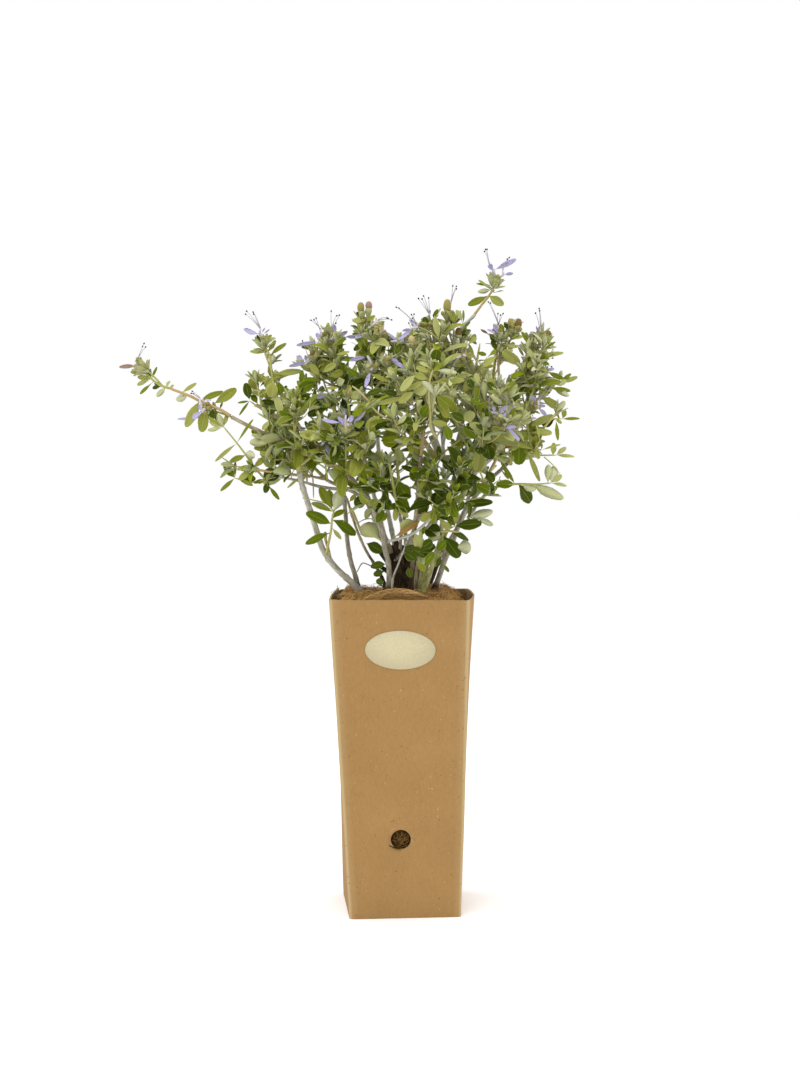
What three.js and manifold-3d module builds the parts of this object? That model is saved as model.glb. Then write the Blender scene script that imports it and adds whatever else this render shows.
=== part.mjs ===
// A potted shrubby germander: a loose evergreen shrub with many pale stems, grey-green leaves in
// opposite pairs and lilac flowers, growing from a tall, tapering, slightly twisted cardboard pot.
// Millimetres, +Z up. The origin is the centre of the pot's flat underside, and the pot's front,
// with the label and the round hole, faces -Y. One branch reaches far out towards -X.
import * as THREE from "three";
import { ConvexGeometry } from "three/addons/geometries/ConvexGeometry.js";
import { mergeVertices } from "three/addons/utils/BufferGeometryUtils.js";
import Module from "manifold-3d";

const wasm = await Module();
wasm.setup();

const vec = (x, y, z) => new THREE.Vector3(x, y, z);
const up = vec(0, 0, 1);

// Driving dimensions of the pot
const potHeight = 258;
const potTopSide = 112;
const potFootSide = 90.4;
const potWall = 1.6;
const potFloor = 2.4;
const foldRadius = 3;
const rightBulge = 4.4; // how far the right side bows out at the rim
const leftBulge = 1.2;
const twistAtFoot = THREE.MathUtils.degToRad(5);
const twistAtRim = THREE.MathUtils.degToRad(-1.3);
const holeRadius = 8;
const holeHeight = 64.5;
const labelHeight = 218;
const labelHalfWidth = 28;
const labelHalfHeight = 15.5;
const labelThickness = 0.5;
const gap = 0.42; // between neighbouring solids

// Driving dimensions of what fills the pot
const soilTop = 248;
const groundHeight = 260; // top of the coir mat where the stems come out
const matEdgeHeight = 253.5;
const matHalf = 52.3;

// Driving dimensions of the woody stump
const stump = { foot: [3, 2], top: [-5, -1], height: 38, radius: 7.5, flare: 5.5, lobes: 5 };

// Driving dimensions of a shoot
const leafLength = 33;
const leafBreadth = 0.5; // of its length
const leafThickness = 0.05; // of its length
const leafArch = 0.1; // of its length
const leafSunk = 0.05; // past the middle of its shoot
const twigRadius = 1.2;
const nodeSpacing = 17.4;
const limbSides = 5;
const limbRings = 4;
const seed = 3;
const shootRows = 4;
const budRadius = 4;
const lipLength = 15;
const stamenLength = 20;
const shootReach = 0.75; // share of the way to the edge of a mass's space
const leafReach = 1.08;
const leafRoll = 1.1; // radians either way about its own length
// What a leaf tries in turn, as a share of its wanted length and how far it leans along its shoot
const leafTries = [[1, 1], [1, 0.3], [1, 2.4], [0.85, 0.6], [0.85, 2.4], [0.7, 0.3], [0.7, 1.5]];
const longestShoot = 48;
const shortestShoot = 8;

// Each row is one limb and the mass of foliage at its end. foot is where the limb leaves the ground
// as [x, y], the stump as [x, y, z], or another limb as its name and the share of its length.
// bend is what the limb curves towards, and thick its radius at the foot and at the tip.
// centre and half give the space of the mass. Every height in the table is above the ground.
const limbs = [
  { name: "far_left", foot: [-9, -7, 32], bend: [-29, -21, 106], thick: [2.5, 1.4],
    centre: [-174, -24, 163], half: [60, 26, 27], lift: 0, blossom: true },
  { name: "left_low", foot: [-15, -15], bend: [-38, -18, 92], thick: [1.9, 1.3],
    centre: [-104, -26, 98], half: [40, 32, 34], lift: 0.1 },
  { name: "left_upper", foot: [-8, 3, 35], bend: [-56, 10, 92], thick: [2.2, 1.5],
    centre: [-102, -4, 166], half: [38, 36, 50], lift: 1, blossom: true },
  { name: "left_mid", foot: [-36, -6], bend: [-76, -14, 39], thick: [3, 2.4],
    centre: [-84, -40, 128], half: [42, 36, 38], lift: 0.4 },
  { name: "upper_left", foot: [-33, 5], bend: [-48, 2, 78], thick: [2.4, 1.7],
    centre: [-56, -12, 172], half: [36, 38, 46], lift: 1, blossom: true },
  { name: "mid_left_front", foot: [-8, -21], bend: [-26, -42, 60], thick: [2, 1.5],
    centre: [-38, -62, 124], half: [38, 34, 44], lift: 0.7, blossom: true },
  { name: "lower_left", foot: ["left_mid", 0.3], bend: [-62, -18, 48], thick: [1.4, 1.2],
    centre: [-54, -36, 66], half: [32, 30, 30], lift: 0.6 },
  { name: "top_left", foot: [-4, 2, 34], bend: [-20, 0, 104], thick: [2.3, 1.6],
    centre: [-20, -8, 186], half: [34, 36, 50], lift: 1, blossom: true },
  { name: "top_centre", foot: [29, 11], bend: [38, 10, 100], thick: [2.7, 1.8],
    centre: [28, 0, 184], half: [34, 36, 50], lift: 1, blossom: true },
  { name: "top_right_spray", foot: ["top_centre", 0.75], bend: [42, -2, 196], thick: [1.6, 1.4],
    centre: [71, -6, 245], half: [26, 22, 28], lift: 0.5, blossom: true },
  { name: "upper_right", foot: [37, 5], bend: [60, 6, 92], thick: [2.5, 1.7],
    centre: [76, 6, 172], half: [34, 36, 46], lift: 1, blossom: true },
  { name: "right_top", foot: ["upper_right", 0.62], bend: [88, -6, 122], thick: [1.7, 1.4],
    centre: [108, -10, 168], half: [32, 36, 48], lift: 0.9, blossom: true },
  { name: "right_mid", foot: [32, -8], bend: [58, -18, 82], thick: [2.4, 1.6],
    centre: [108, -28, 124], half: [37, 36, 36], lift: 0.4, blossom: true },
  { name: "right_low", foot: ["right_mid", 0.42], bend: [66, -36, 70], thick: [1.6, 1.3],
    centre: [98, -40, 86], half: [38, 34, 30], lift: 0 },
  { name: "centre_front", foot: [8, -23], bend: [12, -52, 74], thick: [2, 1.5],
    centre: [20, -68, 150], half: [40, 36, 50], lift: 0.8 },
  { name: "centre_low", foot: [-1, -7, 34], bend: [2, -30, 54], thick: [1.8, 1.5],
    centre: [-6, -62, 86], half: [38, 36, 34], lift: 0.5 },
  { name: "right_front_low", foot: [-5, -5, 26], bend: [16, -34, 46], thick: [1.5, 1.3],
    centre: [42, -60, 86], half: [38, 36, 36], lift: 0.4 },
  { name: "mid_right", foot: [26, -18], bend: [46, -38, 68], thick: [2.1, 1.5],
    centre: [70, -56, 136], half: [36, 36, 42], lift: 0.7, blossom: true },
  { name: "lower_right", foot: ["mid_right", 0.15], bend: [36, -36, 28], thick: [1.5, 1.3],
    centre: [52, -44, 48], half: [30, 30, 26], lift: 0.3 },
  { name: "rear_left_low", foot: [-8, 22], bend: [-34, 32, 66], thick: [2.3, 1.6],
    centre: [-86, 44, 112], half: [44, 38, 42], lift: 0.4 },
  { name: "rear_left_top", foot: [-3, 31], bend: [-26, 44, 98], thick: [2.2, 1.6],
    centre: [-54, 50, 176], half: [40, 40, 48], lift: 1, blossom: true },
  { name: "rear_low", foot: [6, 24], bend: [4, 52, 54], thick: [2.2, 1.6],
    centre: [-4, 82, 104], half: [42, 38, 42], lift: 0.4 },
  { name: "rear_top", foot: [4, 5, 35], bend: [6, 26, 98], thick: [2.2, 1.6],
    centre: [6, 62, 176], half: [40, 40, 48], lift: 0.9, blossom: true },
  { name: "rear_right_low", foot: [22, 24], bend: [52, 34, 60], thick: [2.3, 1.6],
    centre: [82, 46, 108], half: [42, 38, 42], lift: 0.4 },
  { name: "rear_right_top", foot: [14, 31], bend: [40, 46, 98], thick: [2.2, 1.6],
    centre: [62, 54, 172], half: [40, 38, 46], lift: 1, blossom: true },
];

// Materials
const finish = (colour, roughness) =>
  new THREE.MeshStandardMaterial({ color: colour, roughness, metalness: 0 });
const materials = {
  card: finish(0xb08a57, 0.85),
  label: finish(0xd4c8a2, 0.6),
  soil: finish(0x35281a, 1),
  coir: finish(0x9a7448, 1),
  oldWood: finish(0x4a3a28, 0.95),
  stem: finish(0xa9a596, 0.8),
  leaf: finish(0x7a8450, 0.7),
};

// Booleans
function solidOf(geometry) {
  geometry.deleteAttribute("normal");
  geometry.deleteAttribute("uv");
  const merged = mergeVertices(geometry, 1e-4);
  const mesh = new wasm.Mesh({
    numProp: 3,
    vertProperties: merged.attributes.position.array,
    triVerts: new Uint32Array(merged.index.array),
  });
  return new wasm.Manifold(mesh);
}

function geometryOf(solid) {
  const { vertProperties, triVerts } = solid.getMesh();
  const geometry = new THREE.BufferGeometry();
  geometry.setAttribute("position", new THREE.BufferAttribute(vertProperties, 3));
  geometry.setIndex(new THREE.BufferAttribute(triVerts, 1));
  geometry.computeVertexNormals();
  return geometry;
}

const plant = new THREE.Group();

function add(name, solid, material) {
  const mesh = new THREE.Mesh(geometryOf(solid), material);
  mesh.name = name;
  plant.add(mesh);
}

// Moves each vertex of a geometry to where place(vertex) says.
function reshape(geometry, place) {
  const positions = geometry.attributes.position;
  const point = new THREE.Vector3();
  for (let i = 0; i < positions.count; i++) {
    const moved = place(point.fromBufferAttribute(positions, i));
    positions.setXYZ(i, moved.x, moved.y, moved.z);
  }
  return geometry;
}

// The pot

const shareOfHeight = (z) => z / potHeight;
const potSide = (z) => THREE.MathUtils.lerp(potFootSide, potTopSide, shareOfHeight(z));
const potTwist = (z) => THREE.MathUtils.lerp(twistAtFoot, twistAtRim, shareOfHeight(z));

// A rounded square, with extra points on the two sides that bow out
function sleeveOutline(side, radius) {
  const half = side / 2;
  const arcSteps = 2;
  const sideSteps = 3;
  const points = [];
  for (let corner = 0; corner < 4; corner++) {
    const start = (corner * Math.PI) / 2;
    const middle = new THREE.Vector2(half - radius, half - radius);
    middle.rotateAround(new THREE.Vector2(), start);
    for (let i = 0; i <= arcSteps; i++) {
      const angle = start + (i / arcSteps) * (Math.PI / 2);
      const onArc = new THREE.Vector2(Math.cos(angle), Math.sin(angle));
      points.push(onArc.multiplyScalar(radius).add(middle));
    }
    const bows = corner % 2 === 1;
    for (let i = 1; bows && i < sideSteps; i++) {
      const along = THREE.MathUtils.lerp(half - radius, radius - half, i / sideSteps);
      const across = corner === 1 ? -half : half;
      points.push(new THREE.Vector2(across, corner === 1 ? along : -along));
    }
  }
  return new THREE.Shape(points);
}

// A block that fills the sleeve's shape between two heights, inset from its outer face
function sleeveBlock(inset, from, to) {
  const steps = 4;
  const block = new THREE.ExtrudeGeometry(sleeveOutline(potTopSide, foldRadius), {
    depth: to - from,
    steps,
    bevelEnabled: false,
  });
  return solidOf(reshape(block, ({ x, y, z }) => {
    const height = from + z;
    const bowed = (1 - (2 * y / potTopSide) ** 2) * shareOfHeight(height);
    const bulge = Math.abs(x) < potTopSide * 0.499 ? 0 : x > 0 ? rightBulge : -leftBulge;
    const scale = (potSide(height) - 2 * inset) / potTopSide;
    return vec((x + bulge * bowed) * scale, y * scale, height).applyAxisAngle(up, potTwist(height));
  }));
}

function tunnel(radius, height) {
  const round = new THREE.CylinderGeometry(radius, radius, potTopSide * 2, 16);
  return solidOf(round).translate([0, 0, height]);
}

function makePot() {
  const shell = sleeveBlock(0, 0, potHeight).subtract(sleeveBlock(potWall, potFloor, potHeight + 1));
  add("pot", shell.subtract(tunnel(holeRadius, holeHeight)), materials.card);
}

// An oval plate that follows the front face
function makeLabel() {
  const oval = new THREE.Shape();
  oval.absellipse(0, 0, labelHalfWidth, labelHalfHeight, 0, Math.PI * 2, false, 0);
  const plate = new THREE.ExtrudeGeometry(oval, {
    depth: labelThickness,
    bevelEnabled: false,
    curveSegments: 10,
  });
  const label = solidOf(reshape(plate, ({ x, y, z }) => {
    const height = labelHeight + y;
    return vec(x, -potSide(height) / 2 - gap - z, height).applyAxisAngle(up, potTwist(height));
  }));
  add("label", label, materials.label);
}

function makeRootBall() {
  const block = sleeveBlock(potWall + gap, potFloor + gap, potHeight);
  add("root_ball", block.trimByPlane([0, 0, -1], -soilTop), materials.soil);
}

// Height of the coir mat's upper face
function matHeight(x, y) {
  const bump = (cx, cy, rx, ry, high) =>
    high * Math.exp(-(((x - cx) / rx) ** 2 + ((y - cy) / ry) ** 2));
  const out = Math.hypot(x / 46, y / 40);
  const plateau = 1 - THREE.MathUtils.smoothstep(out, 0.92, 1.18);
  const mound = bump(-45, 26, 9, 12, 9) + bump(46, 22, 12, 14, 11);
  const lip = bump(-3, -46, 24, 7, 9);
  return THREE.MathUtils.lerp(matEdgeHeight, groundHeight, plateau) + (mound + lip) * (1 - plateau);
}

function makeCoirMat() {
  const cells = 9;
  const underside = soilTop + gap;
  const slab = new THREE.BoxGeometry(matHalf * 2, matHalf * 2, 2, cells, cells, 1);
  const mat = solidOf(reshape(slab, ({ x, y, z }) => vec(x, y, z > 0 ? matHeight(x, y) : underside)));
  add("coir_mat", mat, materials.coir);
}

// Limbs

// A tapering tube along a curve, closed by flat ends
function tube(curve, radiusAt, sides, rings) {
  const straight = new THREE.CylinderGeometry(1, 1, 1, sides, rings);
  return solidOf(reshape(straight, ({ x, y, z }) => {
    const t = Math.min(1, Math.max(0, y + 0.5));
    const { side, lift } = axesAt(curve, t);
    const radius = radiusAt(t);
    return curve.getPoint(t).addScaledVector(lift, x * radius).addScaledVector(side, z * radius);
  }));
}

// The curve's direction at t, and two directions across it
function axesAt(curve, t) {
  const along = curve.getTangent(t);
  const side = vec(0, 1, 0).cross(along).normalize();
  const lift = along.clone().cross(side);
  return { along, side, lift };
}

function makeStump() {
  const foot = vec(...stump.foot, groundHeight + gap);
  const top = vec(...stump.top, groundHeight + gap + stump.height);
  const axis = new THREE.LineCurve3(foot, top);
  const shapeOf = (spare) => {
    const round = new THREE.CylinderGeometry(1, 1, 1, 10, 4);
    return solidOf(reshape(round, ({ x, y, z }) => {
      const t = Math.min(1, Math.max(0, y + 0.5));
      const lobe = 1 + 0.13 * Math.cos(stump.lobes * Math.atan2(z, x) + 2 * t);
      const radius = (stump.radius + stump.flare * (1 - t) ** 2.5) * lobe + spare;
      return vec(z * radius, x * radius, t * spare).add(axis.getPoint(t));
    }));
  };
  add("trunk", shapeOf(0), materials.oldWood);
  return shapeOf(gap * 1.2);
}

// Distance from p to the surface of the ellipsoid round centre, along way
function reachFrom(p, way, { centre, half }) {
  const from = vec(...p).sub(vec(...centre)).divide(vec(...half));
  const step = way.clone().divide(vec(...half));
  const a = step.lengthSq();
  const b = from.dot(step);
  const c = from.lengthSq() - 1;
  return (Math.sqrt(Math.max(0, b * b - a * c)) - b) / a;
}

const entry = 0.8; // share of a mass's reach at which its limb ends

const aboveGround = ([x, y, z = gap]) => [x, y, z + groundHeight];

function layOutLimb(row, earlier) {
  const limb = { ...row, centre: aboveGround(row.centre), bend: aboveGround(row.bend) };
  const centre = vec(...limb.centre);
  const bend = vec(...limb.bend);
  const way = centre.clone().sub(bend).normalize();
  const reach = reachFrom(limb.centre, way.clone().negate(), limb);
  const tip = centre.clone().addScaledVector(way, -entry * reach);
  const parent = earlier.find(({ name }) => name === limb.foot[0]);
  const foot = parent ? parent.curve.getPoint(limb.foot[1])
    : vec(...aboveGround(limb.foot));
  const curve = new THREE.QuadraticBezierCurve3(foot, bend, tip);
  const [atFoot, atTip] = limb.thick;
  const radiusAt = (t) => THREE.MathUtils.lerp(atFoot, atTip, t);
  const onGround = !parent && limb.foot.length === 2;
  return { ...limb, parent, curve, radiusAt, onGround, leader: layOutLeader(limb, curve, way) };
}

// The leader carries on from the limb's tip, a small gap clear of it, and turns up as lift says.
function layOutLeader(limb, curve, way) {
  const along = curve.getTangent(1);
  const start = curve.getPoint(1).addScaledVector(along, gap);
  const heading = way.clone().addScaledVector(up, limb.lift).normalize();
  const reach = shootReach * reachFrom(limb.centre, heading, limb);
  const end = vec(...limb.centre).addScaledVector(heading, reach);
  const middle = start.clone().addScaledVector(along, 0.45 * start.distanceTo(end));
  return new THREE.QuadraticBezierCurve3(start, middle, end);
}

// A limb that stands on the ground is cut flat there, and any other fits what carries it.
function makeLimb(limb, stumpClearance) {
  let solid = tube(limb.curve, limb.radiusAt, limbSides, limbRings);
  if (limb.onGround) {
    const floor = groundHeight + gap;
    solid = solid.trimByPlane([0, 0, 1], floor);
  } else if (limb.parent) {
    const { curve, radiusAt } = limb.parent;
    const clearance = tube(curve, (t) => radiusAt(t) + gap, limbSides, limbRings);
    solid = solid.subtract(clearance);
  } else {
    solid = solid.subtract(stumpClearance);
  }
  const pieces = solid.decompose();
  pieces.sort((a, b) => b.volume() - a.volume());
  add(`stem_${limb.name}`, pieces[0], materials.stem);
}

// Foliage

// A number from 0 to 1 that depends only on its keys, so the same shoot always grows the same way
function chance(...keys) {
  const weights = [12.9898, 78.233, 37.719, 93.989];
  const phase = keys.reduce((sum, key, i) => sum + (key + seed) * weights[i], 0);
  const wave = Math.sin(phase) * 43758.5453;
  return wave - Math.floor(wave);
}

// Each mass keeps to its own side of a plane between it and every other mass.
function spaceOf(limb, all) {
  const weight = ({ half }) => ((half[0] + half[1] + half[2]) / 3) ** 2;
  const centre = vec(...limb.centre);
  const walls = all.filter((other) => other !== limb).map((other) => {
    const away = vec(...other.centre).sub(centre);
    const far = away.length();
    const share = (far * far + weight(limb) - weight(other)) / (2 * far * far);
    return { normal: away.clone().normalize(), limit: far * share };
  });
  return (p, spare, reach = 1) => {
    const from = p.clone().sub(centre);
    const inReach = from.clone().divide(vec(...limb.half)).length() < reach;
    return inReach && walls.every(({ normal, limit }) => from.dot(normal) < limit - spare);
  };
}

// The limbs and leaders as short straight stretches, to keep foliage off them
function stretchesOf(all) {
  const steps = 14;
  return all.flatMap(({ name, curve, radiusAt, leader }) => [curve, leader].flatMap((path) =>
    Array.from({ length: steps }, (_, i) => ({
      name,
      line: new THREE.Line3(path.getPoint(i / steps), path.getPoint((i + 1) / steps)),
      radius: path === curve ? radiusAt(i / steps) : radiusAt(1),
      own: path === leader || i === steps - 1,
    }))));
}

// Smallest distance between two straight stretches
function distanceBetween(a, b) {
  const u = a.delta(vec());
  const v = b.delta(vec());
  const w = a.start.clone().sub(b.start);
  const uu = u.lengthSq();
  const uv = u.dot(v);
  const vv = v.lengthSq();
  const uw = u.dot(w);
  const vw = v.dot(w);
  const det = uu * vv - uv * uv;
  let s = det > 1e-9 ? THREE.MathUtils.clamp((uv * vw - vv * uw) / det, 0, 1) : 0;
  const t = THREE.MathUtils.clamp((uv * s + vw) / vv, 0, 1);
  s = THREE.MathUtils.clamp((uv * t - uw) / uu, 0, 1);
  return a.at(s, vec()).distanceTo(b.at(t, vec()));
}

// A leaf of unit length along x, with a flat underside and a ridge. Half its breadth is 1 along y.
const leafOutline = [[0, 0], [0.38, -0.95], [0.72, -0.78], [1, 0], [0.72, 0.78], [0.38, 0.95]];
const leafPlate = new ConvexGeometry([...leafOutline.map(([x, y]) => vec(x, y, 0)), vec(0.45, 0, 1)]);

function makeLeaf(root, way, across, length) {
  const top = way.clone().cross(across).normalize();
  return solidOf(reshape(leafPlate.clone(), ({ x, y, z }) => root.clone()
    .addScaledVector(way, x * length)
    .addScaledVector(across, y)
    .addScaledVector(top, (z * leafThickness + leafArch * 4 * x * (1 - x)) * length)));
}

// Directions across a shoot for the two members of an opposite pair, each pair a quarter turn on
function pairAt(curve, t, quarterTurns) {
  const { along, side, lift } = axesAt(curve, t);
  return [0, Math.PI].map((half) => {
    const angle = half + (Math.PI / 2) * quarterTurns;
    const out = side.clone().multiplyScalar(Math.cos(angle)).addScaledVector(lift, Math.sin(angle));
    return { along, out };
  });
}

// A side shoot from the leader, as long as the mass's space and the limbs near it allow
function sideShoot(limb, leader, t, { along, out }, lean, { inside, clearOf }) {
  const root = leader.getPoint(t);
  const slope = out.clone().addScaledVector(along, lean).normalize();
  const heading = slope.clone().addScaledVector(up, 0.3).normalize();
  const room = Math.min(longestShoot, shootReach * reachFrom(root.toArray(), heading, limb));
  for (const share of [1, 0.8, 0.6, 0.4]) {
    const length = room * share;
    const tip = root.clone().addScaledVector(heading, length);
    const middle = root.clone().addScaledVector(slope, length / 2);
    const curve = new THREE.QuadraticBezierCurve3(root, middle, tip);
    const stretches = [[0.12, 0.5], [0.5, 1]].map(([a, b]) =>
      new THREE.Line3(curve.getPoint(a), curve.getPoint(b)));
    const fits = stretches.every((line) => inside(line.end, 1.5) && clearOf(line, twigRadius + gap));
    if (fits && length > shortestShoot) return curve;
  }
  return null;
}

// The shoots of a mass: a leader that carries on from the limb, and side shoots in opposite pairs
function layOutShoots(limb, number, room) {
  const { leader } = limb;
  const thickness = (t) => THREE.MathUtils.lerp(limb.thick[1], twigRadius, t);
  const shoots = [{ curve: leader, thickness, sides: 4, rings: 3 }];
  for (let row = 0; row < shootRows; row++) {
    const t = THREE.MathUtils.lerp(0.08, 0.7, row / (shootRows - 1));
    pairAt(leader, t, row + 0.6 * chance(number, row, 0, 0)).forEach((way, turn) => {
      const lean = 0.1 + 0.5 * chance(number, row, turn, 1);
      const curve = sideShoot(limb, leader, t, way, lean, room);
      const taper = (s) => THREE.MathUtils.lerp(0.62 * thickness(t), 1, s);
      if (curve) shoots.push({ curve, thickness: taper, sides: 3, rings: 1 });
    });
  }
  return shoots;
}

// Whether any edge of leaf a passes through the plate of leaf b. Both lie on the axes that placed them.
function pierces(a, b) {
  const normal = b.across.clone().cross(b.way).normalize();
  return a.corners.some((corner, i) => {
    const next = a.corners[(i + 1) % a.corners.length];
    const before = corner.clone().sub(b.root).dot(normal);
    const after = next.clone().sub(b.root).dot(normal);
    if (before * after > 0) return false;
    const hit = corner.clone().lerp(next, before / (before - after)).sub(b.root);
    const x = hit.dot(b.way) / b.length;
    const y = hit.dot(b.across) / b.across.lengthSq();
    return x > 0 && x < 1.05 && Math.abs(y) < 1.1;
  });
}

// Whether a straight stretch of shoot passes through the plate of a leaf
function crosses(line, leaf) {
  return pierces({ corners: [line.start, line.end] }, leaf);
}

// A leaf of the wanted length, or a shorter or steeper one where that doesn't fit
function fitLeaf(root, { along, out }, spread, wanted, roll, { inside, clearOf, placed, shoots }) {
  for (const [share, lean] of leafTries) {
    const length = wanted * share;
    const way = out.clone().multiplyScalar(spread).addScaledVector(along, lean).normalize();
    const across = along.clone().cross(way).normalize().applyAxisAngle(way, roll)
      .multiplyScalar((leafBreadth * length) / 2);
    const base = root.clone().addScaledVector(way, -leafSunk);
    const at = (x, y) => base.clone().addScaledVector(way, x * length).addScaledVector(across, y);
    const corners = leafOutline.slice(1).map(([x, y]) => at(x, y));
    const halves = [-0.5, 0.5].map((y) => new THREE.Line3(at(0.2, y), at(0.9, y)));
    const stalk = at(0.08, 0);
    const leaf = { root: stalk, way, across, length: length * 0.92, corners: [stalk, ...corners] };
    const fits = corners.every((corner) => inside(corner, 0.35, leafReach))
      && halves.every((line) => clearOf(line, 0.55 * across.length() + gap))
      && !placed.some((other) => pierces(leaf, other) || pierces(other, leaf))
      && !shoots.some((line) => crosses(line, leaf));
    if (fits) return { ...leaf, solid: makeLeaf(base, way, across, length) };
  }
  return null;
}

// Puts leaves on a shoot in opposite pairs and returns how many found room.
function leavesOf({ curve }, number, shootNumber, room) {
  const before = room.placed.length;
  const nodes = Math.max(1, Math.round(curve.getLength() / nodeSpacing));
  for (let node = 1; node <= nodes; node++) {
    const t = Math.min(node / nodes, 0.98);
    const pair = pairAt(curve, t, node + 0.4 * chance(number, shootNumber, node, 0));
    pair.forEach((ways, turn) => {
      const size = 0.85 + 0.3 * chance(number, shootNumber, node, turn + 1);
      const wanted = leafLength * size * THREE.MathUtils.lerp(1, 0.85, t);
      const roll = leafRoll * (2 * chance(number, shootNumber, node, turn + 3) - 1);
      const spread = THREE.MathUtils.lerp(1.5, 0.8, t);
      const leaf = fitLeaf(curve.getPoint(t), ways, spread, wanted, roll, room);
      if (leaf) room.placed.push(leaf);
    });
  }
  const end = axesAt(curve, 0.96);
  const last = fitLeaf(curve.getPoint(0.96), { along: end.side, out: end.along }, 3, leafLength, 0, room);
  if (last) room.placed.push(last);
  return room.placed.length - before;
}

// A flower head at the leader's end: a round bud, one lip that hangs outwards, and its long stamens
function blossomOf(leader, { inside, clearOf }) {
  const end = leader.getPoint(0.97);
  const along = leader.getTangent(1);
  const out = vec(end.x, end.y, 0).normalize();
  const budCentre = end.clone().addScaledVector(along, 1);
  const bud = solidOf(new THREE.OctahedronGeometry(budRadius).translate(...budCentre));
  const lipWay = out.clone().addScaledVector(up, -0.35).normalize();
  const across = up.clone().cross(lipWay).normalize().multiplyScalar(lipLength * 0.4);
  const stamenTip = end.clone().addScaledVector(up, stamenLength).addScaledVector(out, stamenLength * 0.3);
  const knee = end.clone().addScaledVector(up, stamenLength * 0.6);
  const stamens = new THREE.QuadraticBezierCurve3(end, knee, stamenTip);
  const lipTip = end.clone().addScaledVector(lipWay, lipLength);
  const corners = [lipTip, lipTip.clone().add(across), lipTip.clone().sub(across)];
  const lipFits = corners.every((corner) => inside(corner, 0.4, 1.3))
    && clearOf(new THREE.Line3(end, lipTip), lipLength / 2);
  const parts = [];
  if (inside(end, budRadius + 0.5, leafReach)) parts.push(bud);
  if (lipFits) parts.push(makeLeaf(end, lipWay, across, lipLength));
  if (inside(stamenTip, 1.5, 1.5) && clearOf(new THREE.Line3(end, stamenTip), 2)) {
    parts.push(tube(stamens, (t) => THREE.MathUtils.lerp(0.9, 0.6, t), 3, 2));
  }
  return parts;
}

function makeMass(limb, number, all, stretches) {
  const inside = spaceOf(limb, all);
  const clearOf = (line, spare) => stretches.every((stretch) =>
    (stretch.name === limb.name && stretch.own)
    || distanceBetween(line, stretch.line) > stretch.radius + spare);
  const room = { inside, clearOf, placed: [] };
  const shoots = layOutShoots(limb, number, room);
  room.shoots = shoots.flatMap(({ curve }) =>
    [0, 0.2, 0.4, 0.6, 0.8].map((t) => new THREE.Line3(curve.getPoint(t), curve.getPoint(t + 0.2))));
  const leafy = shoots.filter((shoot, i) => leavesOf(shoot, number, i, room) > 0 || i === 0);
  const twigs = leafy.map(({ curve, thickness, sides, rings }) => tube(curve, thickness, sides, rings));
  const blossom = limb.blossom ? blossomOf(shoots[0].curve, room) : [];
  const parts = [...twigs, ...room.placed.map(({ solid }) => solid), ...blossom];
  const pieces = wasm.Manifold.union(parts).simplify(0.02).decompose();
  pieces.sort((a, b) => b.volume() - a.volume());
  add(`foliage_${limb.name}`, pieces[0], materials.leaf);
}

makePot();
makeLabel();
makeRootBall();
makeCoirMat();
const stumpClearance = makeStump();
const laidOut = [];
for (const limb of limbs) laidOut.push(layOutLimb(limb, laidOut));
for (const limb of laidOut) makeLimb(limb, stumpClearance);
const stretches = stretchesOf(laidOut);
laidOut.forEach((limb, number) => makeMass(limb, number, laidOut, stretches));

export default plant;
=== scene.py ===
import math

import bmesh
import bpy
import numpy as np
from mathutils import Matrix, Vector, noise


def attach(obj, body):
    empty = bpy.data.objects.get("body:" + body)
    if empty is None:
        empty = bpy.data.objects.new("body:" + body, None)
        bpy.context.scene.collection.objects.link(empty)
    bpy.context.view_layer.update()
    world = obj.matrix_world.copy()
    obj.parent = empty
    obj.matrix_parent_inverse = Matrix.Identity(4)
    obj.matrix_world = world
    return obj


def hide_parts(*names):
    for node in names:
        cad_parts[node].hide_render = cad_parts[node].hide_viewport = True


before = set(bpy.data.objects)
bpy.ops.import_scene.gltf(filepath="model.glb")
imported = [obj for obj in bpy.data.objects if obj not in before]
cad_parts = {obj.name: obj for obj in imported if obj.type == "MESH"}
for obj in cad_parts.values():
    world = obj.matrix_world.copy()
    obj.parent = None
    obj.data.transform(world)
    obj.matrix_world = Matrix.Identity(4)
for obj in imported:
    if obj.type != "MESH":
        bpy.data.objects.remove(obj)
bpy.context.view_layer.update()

# A potted shrubby germander. Lengths in the tables are millimetres; meshes are metres.
mm = 0.001
root = "root"
print("frame loaded")

# The photograph's camera: straight in front of the pot, a little above its rim. pixelSize is what a pixel
# covers at the pot's middle, middle the column that it lies in, and level the row at the camera's height.
view = {"lens": 64.04, "distance": 1555.0, "height": 391.0, "pitch": 3.06, "shift": -0.00075,
        "pixelSize": 0.8193, "middle": 400.8, "level": 432}

camData = bpy.data.cameras.new("camera")
camData.lens = view["lens"]
camData.sensor_width = 36.0
camData.shift_x = view["shift"]
camera = bpy.data.objects.new("camera", camData)
camera.location = (0, -view["distance"] * mm, view["height"] * mm)
camera.rotation_euler = (math.radians(90 - view["pitch"]), 0, 0)
bpy.context.scene.collection.objects.link(camera)
bpy.context.scene.camera = camera


# Materials

def tint(r, g, b):  # screen colour 0..255 to scene colour
    return tuple(((c / 255 + 0.055) / 1.055) ** 2.4 if c > 10 else c / 255 / 12.92 for c in (r, g, b)) + (1,)


def newMaterial(name, colour, roughness=0.8, specular=0.3, sheen=0.0):
    mat = bpy.data.materials.new(name)
    mat.use_nodes = True
    shader = mat.node_tree.nodes["Principled BSDF"]
    shader.inputs["Base Color"].default_value = tint(*colour)
    shader.inputs["Roughness"].default_value = roughness
    shader.inputs["Specular IOR Level"].default_value = specular
    shader.inputs["Sheen Weight"].default_value = sheen
    return mat


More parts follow.
